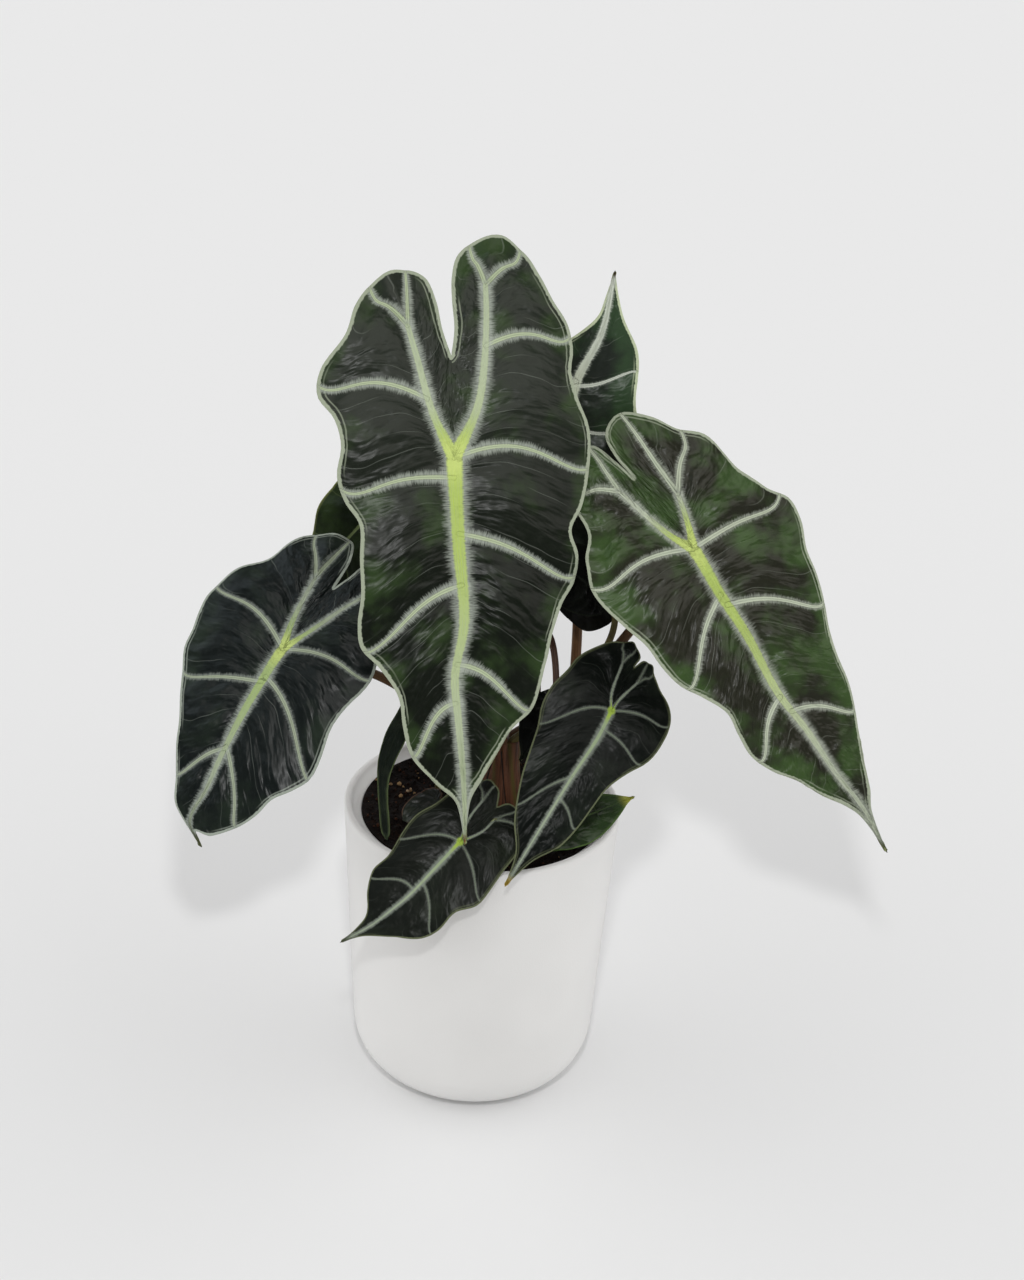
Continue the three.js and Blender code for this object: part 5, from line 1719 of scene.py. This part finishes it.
@dataclass
class Pot:
    """The cover pot: a slightly flared wall, a rounded lip with a hollow inside it, a round foot."""

    rim_radius: float = 70.0
    height: float = 157.0
    foot_radius: float = 61.75
    foot_round: float = 29.0
    wall: float = 4.2
    lip: float = 1.6
    mouth_radius: float = 66.0
    inside_radius: float = 61.3
    ledge: float = 151.5
    sides: int = 176

    @property
    def inside_centre(self) -> tuple[float, float]:
        """Return the centre of the inside's round corner in the profile."""
        return self.inside_radius - self.foot_round + self.wall, self.foot_round

    def skin(self) -> Skin:
        """Return the pot's skin, turned from its profile.

        The hollow is a quarter of an oval, from the mouth under the lip down to the ledge.
        """
        slope = math.atan((self.rim_radius - self.foot_radius) / self.height)
        lean = math.degrees(slope)
        foot_centre = (self.foot_radius + self.foot_round * math.tan(slope)
                       - self.foot_round / math.cos(slope), self.foot_round)
        lip_height = self.height - self.lip
        outer_lip = (self.foot_radius + lip_height * math.tan(slope)
                     - self.lip / math.cos(slope), lip_height)
        outer = arc_points(foot_centre, self.foot_round, -90, -lean, 22)
        inner_lip = (self.mouth_radius + self.lip, lip_height)
        rim = np.concatenate([arc_points(outer_lip, self.lip, -lean, 90, 8),
                              arc_points(inner_lip, self.lip, 90, 180, 8)])
        hollow = (arc_points((0, 0), 1, 0, -90, 12)[1:]
                  * [self.mouth_radius - self.inside_radius, lip_height - self.ledge]
                  + [self.inside_radius, lip_height])
        inner = arc_points(self.inside_centre, self.foot_round - self.wall, 0, -90, 18)
        climb = outer[-1] + (rim[0] - outer[-1]) * np.linspace(0, 1, 14)[1:-1, None]
        base = np.array([[1.0, 0.0], [outer[0][0] * 0.6, 0.0]])
        floor = np.array([[inner[-1][0] * 0.6, self.wall], [1.0, self.wall]])
        profile = np.concatenate([base, outer, climb, rim, hollow, inner, floor])
        return swept_skin(turned_rings(profile, self.sides))


@dataclass
class Soil:
    """The potting mix: a body that fills the pot, a crumbly surface, and loose crumbs on it."""

    pot: Pot
    keep_clear: Array
    clearance: float = 0.4
    crumbling: float = 0.5
    fine_crumbling: float = 0.28
    rings: int = 56
    sides: int = 176
    crumbs: int = 1700
    chips: int = 11
    chip_place: tuple[float, float] = (-41.0, 14.0)
    chip_spread: float = 6.5

    @property
    def edge(self) -> float:
        """Return the surface's radius."""
        return self.pot.inside_radius - self.clearance

    def height(self, x: Array, y: Array) -> Array:
        """Return the surface's height: low mounds of crossed waves, with finer crumbling on them."""
        mounds = MOUND * 0.5 * (np.sin(x * 0.21 + 1.3) * np.cos(y * 0.17) + np.sin((x - y) * 0.13))
        return (SOIL_TOP + mounds + self.crumbling * ripple(x / 9, y / 9, 3)
                + self.fine_crumbling * ripple(x / 3.6, y / 3.6, 4, 14))

    def body(self) -> Skin:
        """Return the body's skin, turned from the pot's inside and closed by the surface."""
        edge = self.edge
        inset = self.pot.wall + self.clearance
        foot = arc_points(self.pot.inside_centre, self.pot.foot_round - inset, -90, 0, 10)
        surface = np.stack([edge * np.linspace(1, 0.02, self.rings), np.full(self.rings, SOIL_TOP)], -1)
        profile = np.concatenate([[[1.0, inset]], foot, surface])
        rings = turned_rings(profile, self.sides)
        level = np.isclose(rings[..., 2], SOIL_TOP)
        fade = np.clip((edge - np.hypot(rings[..., 0], rings[..., 1])) / 2, 0, 1)
        bumpy = self.height(rings[..., 0], rings[..., 1]) - SOIL_TOP
        rings[..., 2] += np.where(level, bumpy * fade, 0)
        return swept_skin(rings)

    def loose(self) -> Skin:
        """Return the loose crumbs: many small, squashed and turned twenty-sided chips."""
        draw = np.random.default_rng(11)
        golden = (1 + math.sqrt(5)) / 2
        base = unit(np.array([[-1, golden, 0], [1, golden, 0], [-1, -golden, 0], [1, -golden, 0],
                              [0, -1, golden], [0, 1, golden], [0, -1, -golden], [0, 1, -golden],
                              [golden, 0, -1], [golden, 0, 1], [-golden, 0, -1], [-golden, 0, 1]]))
        faces = np.array([[0, 11, 5], [0, 5, 1], [0, 1, 7], [0, 7, 10], [0, 10, 11],
                          [1, 5, 9], [5, 11, 4], [11, 10, 2], [10, 7, 6], [7, 1, 8],
                          [3, 9, 4], [3, 4, 2], [3, 2, 6], [3, 6, 8], [3, 8, 9],
                          [4, 9, 5], [2, 4, 11], [6, 2, 10], [8, 6, 7], [9, 8, 1]])
        count = self.crumbs
        radius = (self.edge - 1.8) * np.sqrt(draw.uniform(0, 1, count))
        angle = draw.uniform(0, TAU, count)
        centre = np.stack([radius * np.cos(angle), radius * np.sin(angle)], -1)
        size = 0.45 + 1.0 * draw.uniform(0, 1, count) ** 2.6
        kind = draw.uniform(0, 0.985, count)
        chips = np.arange(self.chips)
        centre[chips] = self.chip_place + self.chip_spread * draw.normal(size=(self.chips, 2)) * [1, 0.8]
        size[chips] = draw.uniform(1.0, 1.55, self.chips)
        kind[chips] = np.where(chips % 3 == 0, 1.0, 0.985)
        squash = draw.uniform(0.55, 1.0, (count, 3))
        ragged = draw.uniform(0.78, 1.15, (count, 12, 1))
        axes = unit(draw.normal(size=(count, 3)))
        second = unit(np.cross(axes, draw.normal(size=(count, 3))))
        spin = np.stack([axes, second, np.cross(axes, second)], 1)
        away = np.linalg.norm(centre[:, None] - self.keep_clear[None, :, :2], axis=2)
        free = (away - self.keep_clear[None, :, 2]).min(1) > size
        local = base[None] * ragged * (size[:, None] * squash)[:, None, :]
        turned = np.einsum("nij,nvi->nvj", spin, local)
        high = self.height(centre[:, 0], centre[:, 1]) + size * 0.25
        points = (turned + np.concatenate([centre, high[:, None]], 1)[:, None])[free]
        total = len(points)
        index = faces[None] + 12 * np.arange(total)[:, None, None]
        return Skin(points.reshape(-1, 3), [index.reshape(-1, 3)],
                    marks={"kind": np.repeat(kind[free], 12)})


# The studio

@dataclass(frozen=True)
class Panel:
    """A soft bright panel of the studio that only shows as a gleam on glossy surfaces."""

    towards: tuple[float, float, float]
    size: float
    light: Colour


@dataclass
class Studio:
    """A plain pale floor, even light all round, one small key light and the camera."""

    reach: float = 12.0
    floor_level: float = 0.8148
    floor_gleam: float = 0.3
    ambient: float = 0.829
    key_share: float = 0.229
    key_place: tuple[float, float, float] = (0.007, -0.830, 0.884)
    key_radius: float = 0.03
    sides: float = 1.8
    surround: float = 0.05
    panel_edge: tuple[float, float] = (0.25, 1.15)
    panels: tuple[Panel, ...] = (
        Panel((0.1, -0.38, 0.92), 34.0, (1.9, 1.86, 1.8, 1.0)),
        Panel((0.62, -0.52, 0.58), 22.0, (1.6, 1.5, 1.46, 1.0)),
        Panel((-0.62, -0.45, 0.64), 14.0, (0.35, 0.4, 0.42, 1.0)),
        Panel((-0.75, 0.25, 0.62), 30.0, (1.0, 1.12, 1.2, 1.0)),
        Panel((0.2, 0.9, 0.4), 40.0, (0.7, 0.72, 0.72, 1.0)),
    )
    target: tuple[float, float, float] = (0.0108, 0.0, 0.2484)
    distance: float = 1.0426
    pitch: float = 26.7
    roll: float = 3.0
    lens: float = 60.0
    film_height: float = 36.0

    def floor(self) -> None:
        """Lay the floor, tinted so that it looks evenly lit as far as the eye sees.

        Its colour is the wanted level over the light there: the ambient light, plus the key light
        times the cosine of its slant. Gleams on glossy surfaces see it much darker.
        """
        size = self.reach
        corners = np.array([[-size, -size, 0], [size, -size, 0], [size, size, 0], [-size, size, 0]]) / MM
        pen = Coat("pale_floor", 0.0, 0.9)
        x, y, _ = pen.split(pen.place())
        away = [pen.math("POWER", pen.math("SUBTRACT", value, middle), 2.0)
                for value, middle in ((x, self.key_place[0]), (y, self.key_place[1]))]
        height = self.key_place[2]
        slant = pen.math("DIVIDE", height, pen.math("SQRT", pen.plus(*away, height ** 2)))
        light = pen.plus(pen.times(slant, self.key_share), self.ambient)
        mirrored = pen.add("ShaderNodeLightPath").outputs["Is Glossy Ray"]
        share = pen.math("SUBTRACT", 1.0, pen.times(mirrored, 1 - self.floor_gleam))
        grey = pen.times(pen.math("DIVIDE", self.floor_level, light), share)
        material = pen.done(Base_Color=pen.vector(grey, grey, grey))
        floor = Skin(corners, [np.array([[0, 1, 2, 3]])]).piece("studio_floor", [material])

    def lights(self) -> None:
        """Set the world light with its panels, and the small key light just above the camera.

        The world light is even at the front and stronger by x^2 towards both sides. The camera
        sees the world as plain as the floor. The key light has no falloff, and its power is its
        share of the light times 4 pi^2.
        """
        world = bpy.data.worlds.new("even_light")
        bpy.context.scene.world = world
        world.use_nodes = True
        pen = Canvas(world.node_tree)
        heading = pen.add("ShaderNodeTexCoord").outputs["Generated"]
        gleam: Any = (self.surround, self.surround, self.surround, 1.0)
        for panel in self.panels:
            aim = pen.add("ShaderNodeVectorMath", operation="DOT_PRODUCT")
            pen.feed(heading, aim.inputs[0])
            aim.inputs[1].default_value = unit(np.array(panel.towards)).tolist()
            inner, outer = (math.cos(math.radians(panel.size * share)) for share in self.panel_edge)
            gleam = pen.blend(pen.step(aim.outputs["Value"], outer, inner), gleam, panel.light)
        sideways = pen.add("ShaderNodeVectorMath", operation="DOT_PRODUCT")
        pen.feed(heading, sideways.inputs[0])
        sideways.inputs[1].default_value = (1, 0, 0)
        across = pen.math("POWER", pen.math("ABSOLUTE", sideways.outputs["Value"]), 2.0)
        level = pen.times(pen.plus(pen.times(across, self.sides), 1 - self.sides / 4), self.ambient)
        path = pen.add("ShaderNodeLightPath")
        lit = pen.blend(path.outputs["Is Glossy Ray"], level, gleam)
        plain = (self.floor_level, self.floor_level, self.floor_level, 1.0)
        backdrop = world.node_tree.nodes["Background"]
        pen.feed(pen.blend(path.outputs["Is Camera Ray"], lit, plain), backdrop.inputs["Color"])
        backdrop.inputs["Strength"].default_value = 1.0
        lamp = bpy.data.lights.new("key_light", "POINT")
        lamp.shadow_soft_size = self.key_radius
        lamp.energy = self.key_share * 4 * math.pi ** 2
        lamp.use_nodes = True
        nodes = lamp.node_tree
        falloff = nodes.nodes.new("ShaderNodeLightFalloff")
        falloff.inputs["Strength"].default_value = 1.0
        nodes.links.new(falloff.outputs["Constant"], nodes.nodes["Emission"].inputs["Strength"])
        holder = bpy.data.objects.new("key_light", lamp)
        holder.location = self.key_place
        bpy.context.scene.collection.objects.link(holder)

    def camera(self) -> None:
        """Set the camera at the photographed angle."""
        pitch, roll = math.radians(self.pitch), math.radians(self.roll)
        back = np.array([0, -math.cos(pitch), math.sin(pitch)])
        level, up = np.array([1.0, 0, 0]), np.array([0, math.sin(pitch), math.cos(pitch)])
        right = math.cos(roll) * level + math.sin(roll) * up
        upright = -math.sin(roll) * level + math.cos(roll) * up
        eye = np.array(self.target) + self.distance * back
        lens = bpy.data.cameras.new("view")
        lens.sensor_fit = "VERTICAL"
        lens.sensor_height = self.film_height
        lens.lens = self.lens
        lens.clip_end = 100.0
        camera = bpy.data.objects.new("view", lens)
        columns = [[*right, 0], [*upright, 0], [*back, 0], [*eye, 1]]
        camera.matrix_world = Matrix(np.array(columns).T.tolist())
        bpy.context.scene.collection.objects.link(camera)
        bpy.context.scene.camera = camera
        bpy.context.scene.view_settings.view_transform = "Standard"

    def build(self) -> None:
        """Set the whole studio."""
        self.floor()
        self.lights()
        self.camera()


# The whole plant

BROAD = LeafFinish("leaf_broad_veins")
LOW = replace(
    BROAD, name="leaf_low_right", shade=tone(13, 17, 14), green=tone(28, 34, 27),
    bloom=tone(40, 42, 38), margin_green=0.05, core=tone(150, 166, 130), far_core=tone(154, 166, 142),
    hub=tone(160, 188, 56), halo=tone(142, 150, 138), band=tone(92, 98, 72), hub_size=8.0,
    vein_core=1.05, vein_halo=3.6, rib_core=0.36, rib_halo=1.5, rib_share=0.55, rib_veil=0.4,
    margin=0.65, line=0.35, thread=0.06, tip=tone(150, 128, 50), pucker=0.001, specular=0.1,
)
NARROW = LOW.plain(
    "leaf_narrow", tone(36, 44, 34), shade=tone(26, 33, 27), green=tone(44, 52, 40),
    halo=tone(34, 42, 32), band=tone(80, 92, 60), margin=0.32, vein_core=0.3, vein_halo=0.5,
    rib_core=0.05, rib_halo=0.1, tip=tone(58, 70, 50), tip_size=4.0,
)
# Painted shade: the low finish with its tissue, veins, margin and tip darkened to near black, for leaves
# that stand in shade
PAINTED_SHADE_LEAF = LOW.plain(
    "leaf_near_black_painted_shade", tone(24, 28, 22), shade=tone(8, 10, 8), green=tone(14, 18, 13),
    bloom=tone(20, 22, 19), halo=tone(20, 24, 18), band=tone(20, 26, 16), vein_core=0.6, vein_halo=1.0,
    margin=0.4, tip=tone(20, 24, 16),
)
FINISHES = {
    # The centre leaf's tissue is painted lighter towards its top, a painted sheen
    "centre": replace(
        BROAD, name="leaf_centre", painted_sheen=tone(36, 41, 33), far_core=tone(178, 190, 156),
        halo=tone(170, 177, 165), rib_halo=4.6, rib_veil=0.72,
    ),
    "right": replace(
        BROAD, name="leaf_right", shade=tone(36, 37, 26), green=tone(56, 78, 38), patches=(0.46, 0.72),
        bloom=tone(66, 66, 60), far_core=tone(184, 192, 170), halo=tone(172, 178, 164), rib_core=1.3,
        rib_halo=3.6, rib_veil=0.65, vein_core=3.1, vein_halo=7.4, margin=1.25, tip=tone(60, 66, 34),
        tip_size=9.0, specular=0.26, pucker=0.0032,
    ),
    "left": replace(
        BROAD, name="leaf_left", shade=tone(17, 23, 22), green=tone(34, 44, 34), bloom=tone(50, 56, 56),
        core=tone(160, 182, 112), far_core=tone(160, 170, 146), halo=tone(164, 172, 162),
        band=tone(150, 158, 146), vein_core=2.7, vein_halo=6.6, rib_core=1.05, rib_halo=3.2, margin=1.1,
        tip=tone(92, 96, 66), hub_size=13.0, pucker=0.0022,
    ),
    # The back leaf turns near black low down, a painted shade
    "back": replace(
        BROAD, name="leaf_back", shade=tone(36, 42, 36), green=tone(50, 70, 46),
        core=tone(206, 216, 176), far_core=tone(208, 214, 200), halo=tone(172, 180, 166),
        band=tone(184, 194, 160), vein_core=3.9, vein_halo=5.6, rib_core=1.0, rib_halo=2.0, margin=1.2,
        tip=tone(72, 52, 30), tip_size=4.0, hub_size=10.0, painted_shade_below=0.292,
    ),
    "low_right": LOW,
    "low_front": replace(
        LOW, name="leaf_low_front", shade=tone(22, 25, 21), green=tone(34, 39, 31),
        bloom=tone(48, 50, 45), vein_core=0.95, vein_halo=3.4, tip=tone(92, 98, 78),
    ),
    "rim_right": replace(
        LOW, name="leaf_rim_right", shade=tone(20, 31, 15), green=tone(42, 62, 30),
        bloom=tone(42, 54, 34), margin_green=0.2, core=tone(60, 80, 40), far_core=tone(56, 78, 38),
        hub=tone(70, 90, 44), halo=tone(44, 62, 32), vein_core=0.5, vein_halo=0.9, rib_core=0.2,
        rib_halo=0.4, band=tone(66, 92, 38), margin=0.5, tip=tone(150, 152, 56), tip_size=12.0,
        specular=0.3,
    ),
    "back_left": replace(
        LOW, name="leaf_back_left", shade=tone(18, 27, 11), green=tone(34, 48, 20),
        core=tone(92, 104, 64), far_core=tone(84, 96, 60), halo=tone(52, 64, 38), hub=tone(92, 104, 64),
        band=tone(104, 110, 62), vein_core=1.0, vein_halo=1.6, tip=tone(60, 62, 34),
    ),
    # Both leaves take the painted-shade finish
    "behind_right": PAINTED_SHADE_LEAF,
    "inner": PAINTED_SHADE_LEAF,
    "soil_left": NARROW,
    "seedling": replace(
        NARROW, name="leaf_seedling", band=tone(84, 58, 40), margin=0.3, tip=tone(44, 52, 40),
        specular=0.5,
    ),
}

BROWN = StalkFinish("brown_stalk")
OLIVE = replace(
    BROWN, name="olive_stalk", foot=tone(92, 84, 44), top=tone(96, 88, 48), streak=tone(58, 52, 26),
)
MAROON = replace(
    BROWN, name="maroon_stalk", foot=tone(84, 56, 42), top=tone(86, 60, 44), streak=tone(48, 30, 24),
)
STALKS = {"behind_right": OLIVE, "soil_left": OLIVE, "seedling": OLIVE, "inner": MAROON}


def settle(piece: bpy.types.Object, node: str) -> None:
    """Let a piece stand for its CAD node, which it hides, ride on the root and log its face count."""
    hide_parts(node)
    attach(piece, "root")
    REPORT.info("%s: %d faces", piece.name, len(piece.data.polygons))


def main() -> None:
    """Build the studio, the pot, the soil, the crown and every leaf, and log each piece that stands for a
    CAD node.
    """
    logging.basicConfig(level=logging.INFO, format="%(message)s")
    Studio().build()
    pot = Pot()
    settle(pot.skin().piece("cover_pot", [GlazeFinish().material()]), "pot")
    leaves = [grown(leaf) for leaf in LEAVES]
    stems = [[*leaf.stem.hole, leaf.stem.radii[0]] for leaf in leaves if leaf.stem.hole]
    soil = Soil(pot, np.array([*stems, [*CROWN_CENTRE, CROWN_RADIUS]]))
    settle(soil.body().piece("potting_soil", [SoilFinish().material()]), "soil")
    crumbs = soil.loose().piece("loose_crumbs", [CrumbFinish().material()])
    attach(crumbs, "root")
    places = [leaf.stem.place for leaf in leaves if leaf.stem.place is not None]
    settle(Crown(places).skin().piece("sheathed_crown", [SheathFinish().material()]), "crown")
    underside = UndersideFinish("leaf_underside").material()
    made: dict[str, Material] = {}
    for leaf in leaves:
        finish, stalk = FINISHES[leaf.name], STALKS.get(leaf.name, BROWN)
        for chosen in (finish, stalk):
            if chosen.name not in made:
                made[chosen.name] = chosen.material()
        blade = Blade.of(leaf)
        settle(blade.skin().piece(f"leaf_{leaf.name}", [made[finish.name], underside]),
               f"blade_{leaf.name}")
        settle(Stalk(leaf, blade.thickness).skin().piece(f"stalk_{leaf.name}", [made[stalk.name]]),
               f"petiole_{leaf.name}")


if __name__ == "__main__":
    main()
